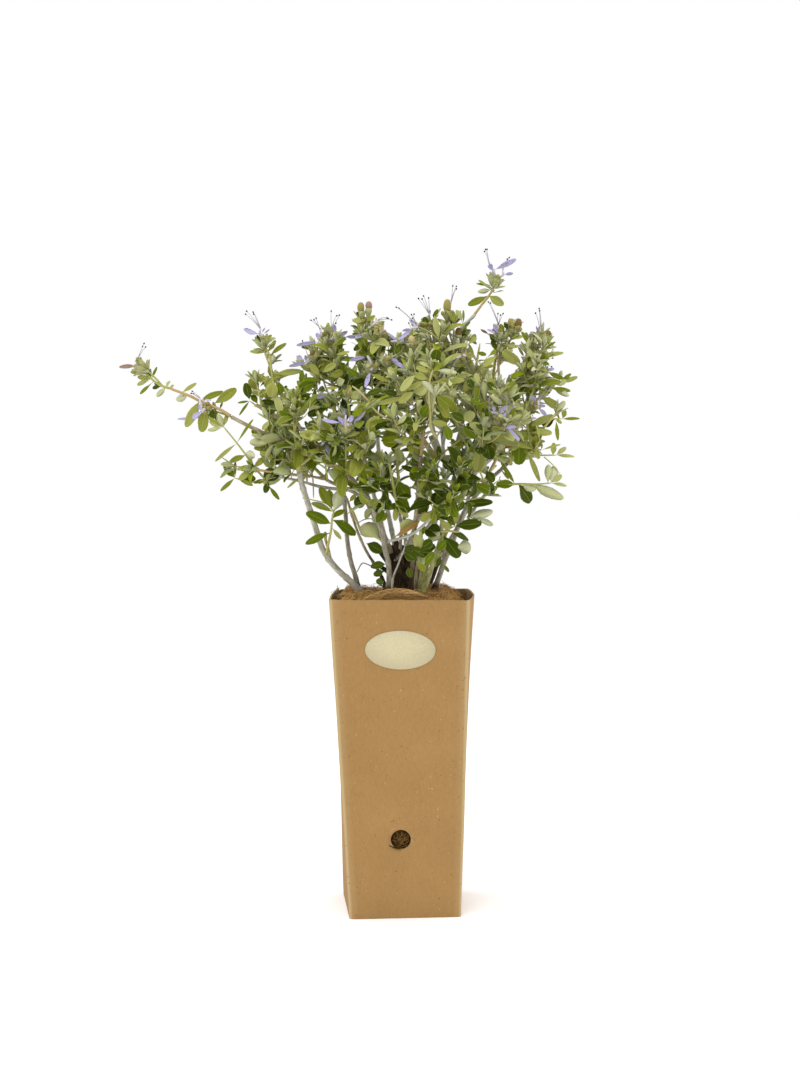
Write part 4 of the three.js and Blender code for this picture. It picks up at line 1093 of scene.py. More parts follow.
        (497, 356, 482, 366, 7, sage), (495, 389, 487, 381, 6, deep), (498, 389, 515, 381, 5, mid),
        (504, 393, 519, 396, 9, deep), (478, 386, 476, 373, 5, grey), (473, 389, 469, 380, 7, deep),
        (473, 375, 457, 376, 5, grey), (470, 424, 468, 411, 12, grey), (484, 428, 476, 421, 6, deep),
        (490, 441, 490, 431, 10, deep), (462, 425, 477, 438, 9, green), (480, 416, 490, 426, 5, pale),
        (506, 424, 490, 434, 10, sage), (471, 398, 481, 402, 9, green), (487, 401, 478, 412, 8, mid),
        (511, 401, 522, 408, 3.5, sage), (497, 365, 484, 368, 3, olive), (476, 353, 486, 355, 4, green),
        (502, 402, 493, 404, 5, green)]),
    "top_left": (-12, [
        (363, 333, 352, 331, 3, sage), (359, 331, 353, 326, 3.5, deep), (363, 323, 353, 319, 6, sage),
        (361, 317, 357, 313, 3, deep), (364, 342, 354, 351, 5, mid), (366, 322, 375, 316, 4, olive),
        (267, 339, 273, 335.5, 3, olive), (262, 344, 258, 337, 3, deep)]),
    "top_centre": (-8, [
        (439, 320, 437, 310, 5, mid), (441, 318, 440.5, 309, 2.5, pale), (454, 323, 451, 313, 5, mid),
        (456, 321, 457, 310, 6, grey), (457, 321, 463, 310.5, 2.5, mid), (428, 330, 424, 317, 6, deep),
        (427, 329, 429, 316, 5, mid), (430, 330, 435, 321, 6, green), (426, 330, 422, 322, 5, deep),
        (455, 327, 470, 322, 4, green), (451, 327, 438, 320, 4, sage), (438, 328, 430, 330, 4, olive),
        (461, 340, 470, 330, 7, deep), (466, 343, 478, 334, 6, olive)]),
    "right_top": (-14, [
        (530, 350, 521, 344, 3.5, deep), (531, 347, 521, 332, 4, mid), (531, 345, 526, 333, 4, sage),
        (532, 343, 538, 334, 5, sage), (533, 349, 546, 342, 6, olive), (511, 338, 522, 337, 5, sage),
        (505, 343, 517, 347, 4, grey), (499, 350, 491, 341, 5, deep), (502, 340, 491, 337, 6, deep),
        (503, 333, 500, 325, 5, mid), (508, 331, 504, 323, 4, deep), (470, 341, 477, 336, 5, sage)]),
    "top_right_spray": (-5, [
        (485, 295, 467, 306, 7, mid), (490, 296, 503, 306, 8, sage), (489, 289, 478, 293, -5, pale),
        (489, 287, 476, 284, 2.5, mid), (486, 287, 478, 281, 3, sage)]),
}
towardViewer = unit(np.array((0.0, -1.0, 0.2)))
for back, rows in shownLeaves.values():
    for footX, footY, tipX, tipY, width, kind in rows:
        start = seenAt(footX, footY, back + rng.uniform(-3, 3))
        way = seenAt(tipX, tipY, back + rng.uniform(-5, 5)) - start
        length = np.linalg.norm(way)
        turn = rng.normal(0, 0.16)
        across = unit(np.cross(towardViewer * math.copysign(1, width), way))
        across = unit(across * math.cos(turn) + np.cross(unit(way), across) * math.sin(turn))
        joint = nearestWood(start, 9)
        stalk = 0.08
        if joint is not None:  # a short stalk back to the twig
            way += start - joint
            stalk = 1 - length / max(np.linalg.norm(way), length * 1.06)
            start = joint
        leafLists[kind, "full" if length > 9 else "small"].append({
            "root": start, "way": way, "across": across, "length": np.linalg.norm(way),
            "width": abs(width) * 0.92, "bend": rng.uniform(0.0, 0.45), "fold": rng.uniform(0.05, 0.3),
            "wave": rng.uniform(0.2, 1.2), "phase": rng.uniform(0, 6.28), "twist": rng.normal(0, 0.2),
            "stalk": stalk, "blunt": rng.uniform(0.9, 1.25), "curl": rng.uniform(0.2, 0.9), "thick": 0.38})


# Leafy shoots that reach up to the heads: points across, down and back, and the mass each belongs to
shownShoots = [
    ("top_centre", [(452, 352, -2), (453, 338, -2), (454, 325, -2)]),
    ("top_centre", [(427, 354, -8), (428, 341, -8), (428, 329, -7)]),
    ("top_centre", [(460, 352, -4), (462, 346, -4), (465, 340, -4)]),
    ("top_left", [(363, 352, -10), (363, 336, -9), (362, 323, -8)]),
    ("top_left", [(378, 362, -12), (379, 348, -12), (379, 336, -12)]),
    ("upper_left", [(331, 368, -16), (330, 355, -16), (329, 343, -15)]),
    ("upper_left", [(320, 384, -14), (315, 372, -14), (315, 361, -14)]),
    ("left_upper", [(263, 410, -12), (260, 397, -12), (257, 384, -12)]),
    ("left_upper", [(288, 412, -14), (293, 398, -14), (300, 388, -14)]),
    ("upper_right", [(500, 356, -8), (505, 343, -8), (509, 331, -8)]),
    ("right_top", [(530, 366, -12), (537, 352, -12), (541, 341, -11)]),
    ("centre_front", [(440, 455, -50), (452, 446, -52), (462, 438, -53)]),
    ("mid_left_front", [(345, 462, -46), (345, 448, -48), (346, 434, -50)]),
]
for name, places in shownShoots:
    curve = np.array([seenAt(*place) for place in places])
    curve[1] = 2 * curve[1] - 0.5 * (curve[0] + curve[2])
    addTwig(curve, (0.9, 0.6), "pale")
    leafyShoot(limbs[name], names.index(name), curve, 1, 0.42, room=False, size=0.85)


# Flower heads: a whorl of felted calyces with buds, a one-lipped flower and its long stamens
head = {"calyxLength": 9.6, "calyxWidth": 2.4, "lip": 15.0,
        "stamen": 18.0, "stamenWidth": 0.3, "anther": 0.66}


def addCalyx(base, way, size=1.0):
    length, width = head["calyxLength"] * size, head["calyxWidth"] * size
    radii = width * np.array((0.35, 0.72, 0.95, 1.0, 0.98, 0.9))
    tubeAlong("calyces", base + np.outer(np.linspace(0, 1, 6) * length, way), radii, 10, 0)
    outs = [outAt(way, i * math.tau / 5) for i in range(5)]
    growBlades("calyces", smallLeaf, {
        "root": [base + way * length * 0.86 + out * width * 0.72 for out in outs],
        "way": [unit(way + 0.25 * out) for out in outs], "across": [np.cross(out, way) for out in outs],
        "length": 3.2 * size, "width": 2.2 * size, "bend": -0.2, "fold": 0.3, "thick": 0.3, "stalk": 0.01,
    }, (0, 0, 0, 0))
    return base + way * length


def addBud(base, way, radius):
    t = np.linspace(0, math.pi, 8)
    path = base + np.outer((1 - np.cos(t)) * radius * 1.25, way)
    radii = radius * np.maximum(np.sin(t), 0.12)
    tubeAlong("buds", path, radii, 12, 0, lambda angle, length: 0.1 * radius * np.cos(5 * angle + length))


def addStamens(foot, anthers):
    for tip in anthers:
        start = foot + rng.normal(0, 0.35, 3)
        knee = mix(start, tip, 0.55) + up * 0.1 * np.linalg.norm(tip - start) + rng.normal(0, 0.4, 3)
        curve = np.array((start, knee, tip))
        radii = head["stamenWidth"] * np.linspace(1.1, 0.55, 8)
        tubeAlong("stamens", pointAt(curve, np.linspace(0, 1, 8)), radii, 4, 0)
        away = tangentAt(curve, 1.0)
        radii = head["anther"] * np.array((0.5, 1.0, 0.95, 0.4))
        tubeAlong("stamens", tip + np.outer(np.linspace(-0.6, 0.9, 4), away), radii, 6, 1)


def addLobes(throat, lobes, faded=False):  # each lobe: way, top, length, width
    count = len(lobes)
    ways, tops, lengths, widths = zip(*lobes)
    growBlades("petals", petalBlade, {
        "root": [throat + unit(way) * 0.8 for way in ways], "way": [unit(way) for way in ways],
        "across": [np.cross(top, way) for way, top in zip(ways, tops)], "length": lengths, "width": widths,
        "bend": rng.normal(-0.25, 0.15, count), "fold": 0.3, "thick": 0.28, "stalk": 0.02,
        "curl": rng.uniform(-0.5, 0.3, count), "blunt": rng.uniform(1.0, 1.3, count),
        "wave": rng.uniform(0.4, 1.2, count), "twist": rng.normal(0, 0.3, count),
    }, (3, 3, 3, 3) if faded else (0, 0, 1, 0))


def addCorolla(mouth, way, lip, size=1.0):  # a flower that the photograph doesn't show
    lip = unit(lip - way * lip.dot(way) * 0.6)
    side = unit(np.cross(way, lip))
    throat = mouth + way * 2.2
    tubeAlong("petals", mouth + np.outer(np.linspace(-3, 3, 6), way), (0.9, 1.1, 1.3, 1.5, 1.8, 2.0), 10, 2)
    lobes = [(lip + 0.35 * way, way - 0.5 * lip, head["lip"] * size * rng.uniform(0.9, 1.08), 5.0 * size)]
    for turn in (-1, 1):
        lobes.append((lip * 0.2 + side * 0.8 * turn + way * 0.7, -lip, 5.5 * size, 2.8 * size))
        lobes.append((way - lip * 0.35 + side * 0.4 * turn, -lip, 6.5 * size, 3.0 * size))
    addLobes(throat, lobes)
    drift = 0.5 * lip + rng.normal(0, 0.3, 3)
    rise = head["stamen"] * size
    addStamens(throat, [throat + (up * 0.8 + 0.3 * way) * rise * rng.uniform(0.75, 1.0)
                        + drift * rise * rng.uniform(0.2, 0.6) + side * rng.normal(0, 2) for _ in range(4)])


def addHead(base, axis, lip, kind, flowers=0):
    axis, lip = unit(axis), unit(np.asarray(lip, float))
    turnStart = rng.uniform(0, 1.5)
    for i in range(6):  # bracts
        out = outAt(axis, turnStart + i * math.tau / 6)
        start = base - axis * (4.5 - 1.4 * (i // 2))
        addLeaf("leaves_sage" if i % 2 else "leaves_olive", start, out, axis, 1.0, 0.5,
                rng.uniform(9, 13) * (0.75 if kind == "bud" else 1), 0.36, rng.normal(0, 0.25), 0.2)
    for i in range(5):
        out = outAt(axis, turnStart + 0.5 + i * math.tau / 5)
        way = unit(axis + out * 0.6)
        if i == 0 and flowers:
            way = unit(axis * 0.7 + lip * 0.55)
        mouth = addCalyx(base + out * 0.6, way, rng.uniform(0.85, 1.1) * (0.62 if kind == "bud" else 1))
        if i in (0, 2) and flowers > i // 2:
            addCorolla(mouth - way * 0.8, way, lip if i == 0 else -lip, 1.0 - 0.07 * i)
        elif kind == "bud" or i == 3:
            addBud(mouth - way * 1.6, way, rng.uniform(1.5, 2.1))
    addBud(base + axis * 3.5, axis, 2.2)


# Heads that show: the middle across and down in the photograph, how far back, the way it points, the kind
showingHeads = [
    (141, 368, -24, (-0.8, 0, 0.35), "open"), (206, 408, -24, (-0.6, -0.4, 0.2), "bud"),
    (263, 341, -6, (-0.2, 0, 1), "open"), (313, 356, -18, (-0.3, -0.3, 1), "bud"),
    (328, 340, -16, (-0.1, -0.2, 1), "open"), (365, 321, -8, (0, 0, 1), "bud"),
    (380, 337, -14, (0, -0.2, 1), "open"), (413, 345, -20, (0.1, -0.4, 1), "open"),
    (427, 325, -8, (0, 0, 1), "bud"), (447, 313, -2, (0, 0, 1), "bud"), (495, 281, -6, (0.2, 0, 1), "open"),
    (502, 334, -9, (0.1, 0, 1), "open"), (515, 328, -8, (0.3, 0, 1), "bud"),
    (543, 338, -12, (0.15, 0, 1), "open"), (539, 372, -28, (0.2, -0.3, 1), "open"),
    (535, 404, -35, (0.3, -0.4, 0.6), "bud"), (495, 420, -66, (-0.1, -0.4, 0.8), "open"),
    (503, 425, -68, (0.3, -0.5, 0.2), "bud"), (346, 428, -72, (0, -0.3, 1), "open"),
    (372, 367, -42, (0, -0.4, 0.9), "open"), (387, 360, -46, (-0.1, -0.4, 0.9), "open"),
    (465, 357, -34, (-0.2, -0.4, 0.8), "bud"), (321, 446, -34, (-0.2, -0.4, 0.6), "bud")]
# Buds and spent caps that show: foot and tip, how far back, half the thickness in millimetres, the look
showingBuds = [
    (376, 334, 377, 320, -15, 2.1, 2), (381, 334, 382, 322, -15, 2.1, 2), (361, 314, 361, 303, -9, 2.9, 0),
    (369, 311, 369, 302, -9, 2.8, 1), (447, 314, 447, 300, -3, 3.3, 0), (511, 330, 511, 319, -9, 2.9, 0),
    (517, 329, 518, 319, -9, 3.3, 3), (547, 339, 548, 331, -13, 2.7, 3), (326, 342, 326, 331, -18, 2.6, 3),
    (313, 358, 313, 350, -20, 2.4, 3), (141, 370, 141, 361, -24, 2.4, 0), (412, 345, 411, 336, -22, 2.7, 2),
    (539, 374, 539, 364, -30, 2.6, 3), (346, 431, 346, 420, -75, 2.3, 2), (459, 337, 458, 328, -12, 2.6, 3)]
# Flowers that show, from the photograph: throat, lip's tip and its width and how far back, and where they
# show, the foot of the stamens and each anther
showingFlowers = [
    (260, 335, 244.5, 332.5, 5, -6, (261, 329), ((254, 313), (254.5, 315), (247.5, 312), (246.5, 315))),
    (262, 334, 265, 329, 1.5, -6), (264, 335, 269.5, 330, 1.5, -6),
    (320, 342, 297, 345, 4, -16, (321, 330), ((314.5, 320.5), (316.5, 319), (311.5, 321))),
    (320, 342, 318, 334, 4, -24), (337, 337, 347, 332, 4, -18),
    (334, 337, 333, 326, 7, -26, (332, 330), ((337, 316.5), (339.5, 316), (331.5, 312), (336, 324))),
    (345, 337, 356, 337.5, 3.5, -14), (308, 362, 290, 366, 4, -20, (309, 358), ((303, 341.5),)),
    (306, 361, 297, 358, 3.5, -20), (307, 362, 305, 356.5, 4, -20),
    (367, 331, 357, 340, 6.5, -26, (378, 321), ((387, 318.5), (388, 319), (391.5, 320.5))),
    (385, 331, 396, 341, 2.5, -17), (397, 342, 408, 342, 4, -18),
    (414, 328, 400, 341, 5, -20, (416, 325),
     ((412.5, 319), (411.5, 315.5), (414, 315), (399, 309), (396.5, 308))),
    (412, 329, 403, 331, 3, -21), (415, 327, 409, 321, 3.5, -20),
    (429, 317, 431, 311, 1.5, -8, (429, 314), ((422, 300), (423.5, 297), (418.5, 299.5), (428.5, 299))),
    (450, 304, 452, 299, 1.5, -3, (451, 302), ((452.5, 287), (456, 290), (456, 287.5))),
    (494, 271, 514.5, 260.5, 5.5, -6, (490, 270), ((484, 253), (485, 251), (486.5, 251))),
    (492, 272, 491, 265, 2.5, -7), (493, 272, 488, 267, 3, -7),
    (503, 276, 512, 274, 3.5, -8, (502, 271), ((506.5, 260.5), (508.5, 259), (509, 262.5))),
    (497, 334, 487, 331, 3, -11, (498, 326),
     ((488, 303), (490, 304), (497.5, 314.5), (500, 316), (502.5, 314.5))),
    (497, 334, 494, 325, 4, -11), (489, 335, 481, 330, 3, -11),
    (540, 336, 539, 328, 5, -13, (540, 328), ((538.5, 309.5), (539, 311.5), (535, 314))),
    (539, 334, 530, 332.5, 1.5, -13), (537, 332, 535, 327.5, 2, -13), (547, 340, 551, 347, 5, -15),
    (547, 338, 553, 337.5, 1.5, -13), (533, 371, 532, 361, 5, -31),
    (545, 371, 553, 369, 3, -29, (541, 364), ((552, 358.5), (551, 367))), (534, 404, 532, 396, 6.5, -36),
    (536, 406, 545, 405.5, 3, -37),
    (538, 408, 547, 415, 4, -37, (538, 400), ((547.5, 389), (548.5, 393), (535, 397))),
    (497, 413, 507, 406, 4.5, -70, (489, 412), ((488, 397), (490, 391))),
    (512, 409, 503, 418, 4.5, -70, (513, 408), ((492, 391), (496, 388))), (496, 412, 493, 407, 4, -70),
    (506, 426, 518, 441, 5, -72), (504, 429, 515, 426, 4, -72), (342, 423, 322, 422, 4.5, -76),
    (345, 424, 339, 417, 5, -77, (346, 415), ((341, 410), (338, 406), (337, 412), (343, 407))),
    (349, 424, 353, 416.5, 5, -77), (352, 424, 367, 414, 4.5, -76), (371, 371, 366, 387, 5, -48),
    (389, 358, 404, 369, 4, -52), (390, 359, 399, 361, 3, -52), (330, 394, 317, 397, 6, -38),
    (367, 357, 350, 360, 4, -40), (324, 443, 333, 457, 7, -42), (463, 356, 453, 359, 4, -38),
    (202, 411, 193, 418, 5, -28, (200, 398), ((193, 391.5), (192, 393.5), (194, 394))),
    (202, 411, 199, 406, 4, -28), (192, 418, 178.5, 420.5, 4, -16), (204, 399, 211, 401.5, 3, -22),
    (138, 366, 121, 366.5, 4, -24, (138, 360), ((143.5, 347), (146.5, 347.5), (145, 344)))]
fadedFlowers = ((489, 335), (138, 366))  # the throats of those that are brown
rearHeads = {"rear_left_top": 2, "rear_top": 2, "rear_right_top": 3, "rear_left_low": 1, "rear_low": 1,
             "rear_right_low": 1}  # how many stand on each of the masses that the photograph hides


def twigTo(base, axis, thick=(0.9, 0.75)):
    start = nearestWood(base - axis * 14 - up * 6)
    if start is None:
        start = nearestWood(base, 200)
    middle = mix(mix(start, base, 0.5), base - axis * 8, 0.5)
    addTwig(np.array((start, middle, base)), thick, "green")


headBases = []
for px, py, back, axis, kind in showingHeads:
    axis = unit(np.array(axis, float))
    base = seenAt(px, py, back) - axis * 6
    twigTo(base, axis)
    addHead(base, axis, (-1, 0, 0), kind)
    headBases.append((base, axis))
for footX, footY, tipX, tipY, back, radius, look in showingBuds:
    foot, tip = seenAt(footX, footY, back), seenAt(tipX, tipY, back)
    way = unit(tip - foot)
    nearest = min(headBases, key=lambda entry: np.linalg.norm(entry[0] - foot))[0]
    tubeAlong("calyces", pointAt(np.array((nearest, foot - way * 4, foot + way * 1.5)), np.linspace(0, 1, 7)),
              radius * np.array((0.3, 0.3, 0.35, 0.5, 0.8, 0.95, 0.9)), 10, 0)
    t = np.linspace(0, math.pi, 8)
    radii = radius * np.maximum(np.sin(t) ** 0.8, 0.12)
    tubeAlong("buds", foot + np.outer((1 - np.cos(t)) / 2, tip - foot), radii, 12, look,
              lambda angle, length: 0.1 * np.cos(5 * angle + length))
for px, py, lipX, lipY, width, back, *stamens in showingFlowers:
    faded = (px, py) in fadedFlowers
    throat, lipTip = seenAt(px, py, back), seenAt(lipX, lipY, back - rng.uniform(0, 3))
    base, axis = min(headBases, key=lambda entry: np.linalg.norm(entry[0] + entry[1] * 6 - throat))
    start = base + axis * 5
    if np.linalg.norm(start - throat) > 13:  # far from every head, so on a small twig of its own
        start = throat - unit(lipTip - throat) * 5
        twigTo(start, unit(lipTip - throat), (0.7, 0.6))
    path = pointAt(np.array((start, throat - unit(lipTip - throat) * 2, throat)), np.linspace(0, 1, 7))
    tubeAlong("petals", path, np.linspace(0.8, 1.0, 7) * min(1.3, 0.4 + 0.2 * width), 8, 3 if faded else 2)
    way = lipTip - throat
    top = unit(towardViewer + 0.5 * unit(np.cross(way, towardViewer)) * rng.choice((-1, 1)))
    addLobes(throat, [(way, top, np.linalg.norm(way), width * 0.9)], faded)
    if stamens:
        foot, anthers = seenAt(*stamens[0], back - 1), stamens[1]
        tubeAlong("petals", np.array((throat, mix(throat, foot, 0.5), foot)), (1.0, 0.9, 0.7), 8, 2)
        addStamens(foot, [seenAt(*anther, back + rng.uniform(-3, 2)) for anther in anthers])
for name, count in rearHeads.items():
    leader = limbs[name]["leader"]
    for i, t in enumerate((1.0, 0.8, 0.62)[:count]):
        aside = unit(np.array((rng.normal(), 1, 0.4))) * 14
        base = pointAt(leader, t) + (aside if i else 0)
        axis = tangentAt(leader, t)
        out = unit(np.array((base[0] * 0.02, 1, -0.1)))
        if inSky(base + np.outer((0, 12, 20), axis)):
            continue
        if i:
            twigTo(base, axis)
        kind = (i + len(name)) % 3
        addHead(base, axis, out, "bud" if kind == 1 else "open", (2, 0, 1)[kind])
print("flower heads", len(showingHeads))

# Dead leaves on the old wood at the foot: where they show, how far back, and their way across and up
deadLeaves = [
    (384, 577, -12, -1, -0.1), (381, 573, -14, -0.6, 0.6), (386, 585, -12, -0.9, -0.4),
    (384, 580, -16, -1, 0.1), (408, 566, -10, 0.5, 0.8), (396, 560, -10, -0.4, 1),
    (414, 575, -8, 0.8, 0.3), (390, 566, -14, -0.8, 0.5)]
for px, py, back, dx, dz in deadLeaves:
    growBlades("dead_leaves", fullLeaf, {
        "root": [seenAt(px, py, back)], "way": [(dx, -0.5, dz)], "across": [(0.3, 1, 0.3)],
        "length": rng.uniform(5, 9), "width": rng.uniform(3, 5), "bend": 1.4, "fold": 0.6, "curl": 1.6,
        "wave": 2.0, "twist": 1.2}, (0, 0, 0, 0))

foliageNodes = [f"foliage_{n}" for n in names]
for (kind, size), leaves in leafLists.items():
    if leaves:
        spec = {key: [leaf[key] for leaf in leaves] for key in leaves[0]}
        growBlades(kind, fullLeaf if size == "full" else smallLeaf, spec, (0, 1, 2, 3))
for kind in leafKinds:
    finishPile(kind, [kind, kind + "Margin", kind + "Rib", kind + "Under"],
               foliageNodes if kind == "leaves_olive" else ())
foliageLooks = {
    "twigs_pale": ["twigPale"],
    "twigs_green": ["twigGreen"],
    "twigs_brown": ["twigBrown"],
    "calyces": ["calyx"],
    "buds": ["bud", "faded", "cap", "rust"],
    "petals": ["petal", "petalDeep", "throat", "faded"],
    "stamens": ["stamen", "anther"],
    "dead_leaves": ["deadLeaf"],
}
for piece, lookNames in foliageLooks.items():
    finishPile(piece, lookNames)
for bark in ("paleBark", "greyBark", "brownBark", "greenBark"):
    finishPile(f"stems_{bark}", [bark], [f"stem_{n}" for n in names if limbs[n]["bark"] == bark])
print("foliage made")


# The old stump: a short dark foot with root flare, lumps and broken stubs (foot, tip and thickness). Its
# near-black colour is painted shade, the shadow under the crown over the old wood, and its wide foot and the
# stubs beside it partly fill that shadow too.
stump = {"foot": (3, 2, 258.6), "top": (-5, -1, 298.4), "tall": 40, "radius": 7.5, "flare": 5.5, "lobes": 5}
stubs = [
    ((11, -2, 259), (9, -5, 292), 5.2), ((-9, -5, 284), (-16, -9, 293), 2.2),
    ((4, -6, 280), (9, -12, 288), 1.8), ((-2, -7, 292), (-4, -12, 303), 2.0),
    ((-10, 2, 276), (-17, -1, 281), 1.6)]


def stumpRelief(angle, length):
    t = length / stump["tall"]
    wide = stump["radius"] + stump["flare"] * np.clip(1 - t, 0, 1) ** 2.5
    lobe = 0.13 * wide * np.cos(stump["lobes"] * angle + 2 * t)
    ridges = 0.5 * np.cos(13 * angle + 0.3 * length) + 0.45 * np.sin(length * 0.8 + 3 * np.cos(2 * angle))
    lumps = 1.1 * np.exp(-((length - 27) / 4) ** 2) * np.cos(3 * angle + 1)
    return lobe + ridges * 0.7 + lumps + 0.4 * np.sin(7 * angle + length * 0.45) * np.sin(length * 0.7)


t = np.linspace(0, 1, 34)
path = mix(np.array(stump["foot"]), np.array(stump["top"])[None], t[:, None])
radii = stump["radius"] + stump["flare"] * (1 - t) ** 2.5
radii[-3:] *= (0.97, 0.86, 0.6)
tubeAlong("old_stump", path, radii - 0.6, 40, 0, stumpRelief, uvFrom=0)
for foot, tip, thick in stubs:
    path = smoothPath([foot, mix(np.array(foot), np.array(tip), 0.6), tip], 1.2)
    tubeAlong("old_stump", path, tapered(thick * 1.3, thick, path), 12, 0,
              stemRelief(thick * 7, thick), uvFrom=0)
finishPile("old_stump", ["oldWood"], ["trunk"])


# The pot: a folded board sleeve with a floor, tapering and slightly twisted
pot = {"height": 258, "topSide": 112, "footSide": 90.4, "wall": 1.3, "floor": 2.4, "fold": 3.2,
       "rightBulge": 4.4, "leftBulge": 1.2, "twistFoot": 5, "twistRim": -1.3,
       "hole": 8, "holeHeight": 64.5, "arcSteps": 6, "sideSteps": 18, "rings": 64, "ragged": 0.5}
rimHalf = pot["topSide"] / 2


def outlineOf(radius):  # a rounded square, as corner arcs joined by straight sides
    middle, steps = rimHalf - radius, pot["sideSteps"]
    local = [(middle + radius * math.cos(a), middle + radius * math.sin(a))
             for a in np.linspace(0, math.pi / 2, pot["arcSteps"])]
    local += [(mix(middle, -middle, i / steps), rimHalf) for i in range(1, steps)]
    return [turned(x, y, corner * math.pi / 2) for corner in range(4) for x, y in local]


def twistAt(z):
    return math.radians(mix(pot["twistFoot"], pot["twistRim"], z / pot["height"]))


def sleeve(x, y, z, inset=0.0):  # where a point of the outline goes at a height
    share = z / pot["height"]
    bowed = (1 - (2 * y / pot["topSide"]) ** 2) * share
    onSide = float(smoothstep(abs(x), rimHalf - 1.5, rimHalf))
    bulge = (pot["rightBulge"] if x > 0 else -pot["leftBulge"]) * onSide
    scale = (mix(pot["footSide"], pot["topSide"], share) - 2 * inset) / pot["topSide"]
    return Vector((*turned((x + bulge * bowed) * scale, y * scale, twistAt(z)), z))


def boardWave(x, y, z):  # the board isn't quite flat, and its cut edge isn't quite level
    here = Vector((x, y, z)) * 0.018
    return noise.noise(here) * 0.25 + noise.noise(here * 4) * 0.03


outline = outlineOf(pot["fold"])
bm = bmesh.new()
bmesh.ops.create_circle(bm, segments=len(outline), radius=1)
ring = list(bm.verts)
ringEdges = list(bm.edges)


def placeRing(verts, z, inset, ragged=0.0):
    for (x, y), vert in zip(outline, verts):
        p = sleeve(x, y, min(z, pot["height"]), inset)
        out = Vector((p.x, p.y, 0)).normalized()
        p += out * boardWave(p.x, p.y, z) * float(smoothstep(z, 0, 12))
        fray = noise.noise(Vector((x, y, 3)) * 0.16) + 0.5 * noise.noise(Vector((x, y, 9)) * 0.7)
        p.z = z + ragged * fray
        tear = math.exp(-((x + rimHalf) ** 2 + (y - rimHalf) ** 2) / 60) * (ragged > 0)
        p.z -= tear * (1.6 + 1.4 * noise.noise(Vector((x * 1.3, y * 1.3, 1))))
        vert.co = p * mm


def vertsOf(geom):
    return [g for g in geom if isinstance(g, bmesh.types.BMVert)]


def liftRing(edges, order, z, inset, ragged=0.0):
    made = bmesh.ops.extrude_edge_only(bm, edges=edges)["geom"]
    fresh = vertsOf(made)
    newEdges = [g for g in made if isinstance(g, bmesh.types.BMEdge) and all(v in fresh for v in g.verts)]
    partner = {}
    for face in [g for g in made if isinstance(g, bmesh.types.BMFace)]:
        for edge in face.edges:
            a, b = edge.verts
            if (a in order) != (b in order):
                old, new = (a, b) if a in order else (b, a)
                partner[old] = new
    following = [partner[v] for v in order]
    placeRing(following, z, inset, ragged)
    return newEdges, following


placeRing(ring, 0, 0)
edges, order = ringEdges, ring
heights = [0.5, 2] + [pot["height"] * i / pot["rings"] for i in range(1, pot["rings"])]
for z in heights:
    edges, order = liftRing(edges, order, z, 0)
rimStart = len(bm.faces) + 2 * len(outline)
for z, inset in ((-0.25, 0), (0, 0.25), (0, pot["wall"] - 0.25), (-0.3, pot["wall"])):
    edges, order = liftRing(edges, order, pot["height"] + z, inset, pot["ragged"])
rimEnd = len(bm.faces)
for z in (254, 250, 246, 240, 200, 160, 120, 80, pot["holeHeight"], 40, 20, pot["floor"]):
    edges, order = liftRing(edges, order, z, pot["wall"])
bm.faces.ensure_lookup_table()
for i, face in enumerate(bm.faces):
    face.material_index = 0 if i < rimStart else 1 if i < rimEnd else 2
for face in bmesh.ops.contextual_create(bm, geom=edges)["faces"]:  # the floor inside
    face.material_index = 2
bmesh.ops.contextual_create(bm, geom=ringEdges)  # and its underside
bmesh.ops.recalc_face_normals(bm, faces=bm.faces)
potMesh = meshFrom(bm, "pot_board")
foldHighlightLayer = potMesh.attributes.new("foldHighlight", "FLOAT", "POINT")
# 1 on the rounded upright fold corners, where the card material paints its highlight, and 0 on the flat sides
for vert, value in zip(potMesh.vertices, foldHighlightLayer.data):
    x, y = turned(vert.co.x, vert.co.y, -twistAt(vert.co.z / mm))
    near, far = sorted((abs(x), abs(y)))
    value.value = float(smoothstep(near / max(far, mm), 0.92, 0.985))
potPiece = newPiece("pot_board", potMesh)

bm = bmesh.new()
across = pot["hole"] * mm
bmesh.ops.create_cone(bm, cap_ends=True, segments=64, radius1=across, radius2=across, depth=0.3)
for vert in bm.verts:
    vert.co = Vector((vert.co.x, vert.co.z, vert.co.y + pot["holeHeight"] * mm))
bmesh.ops.recalc_face_normals(bm, faces=bm.faces)
punch = newPiece("punch", meshFrom(bm, "punch", smooth=False))
cut = potPiece.modifiers.new("holes", "BOOLEAN")
cut.object, cut.solver, cut.operation = punch, "EXACT", "DIFFERENCE"
bpy.context.view_layer.update()
solved = potPiece.evaluated_get(bpy.context.evaluated_depsgraph_get())
cutMesh = bpy.data.meshes.new_from_object(solved)
potPiece.modifiers.clear()
potPiece.data = cutMesh
bpy.data.objects.remove(punch)
for face in potPiece.data.polygons:
    x, y, z = face.center / mm
    if math.hypot(x, z - pot["holeHeight"]) < pot["hole"] + 0.1 and abs(face.normal.y) < 0.6 and abs(y) > 20:
        face.material_index = 1
        face.use_smooth = False
dress(potPiece, ["card", "cardEdge", "cardInside"], ["pot"])
potPiece.data.name = "pot_board"
print("pot made", len(potPiece.data.polygons))


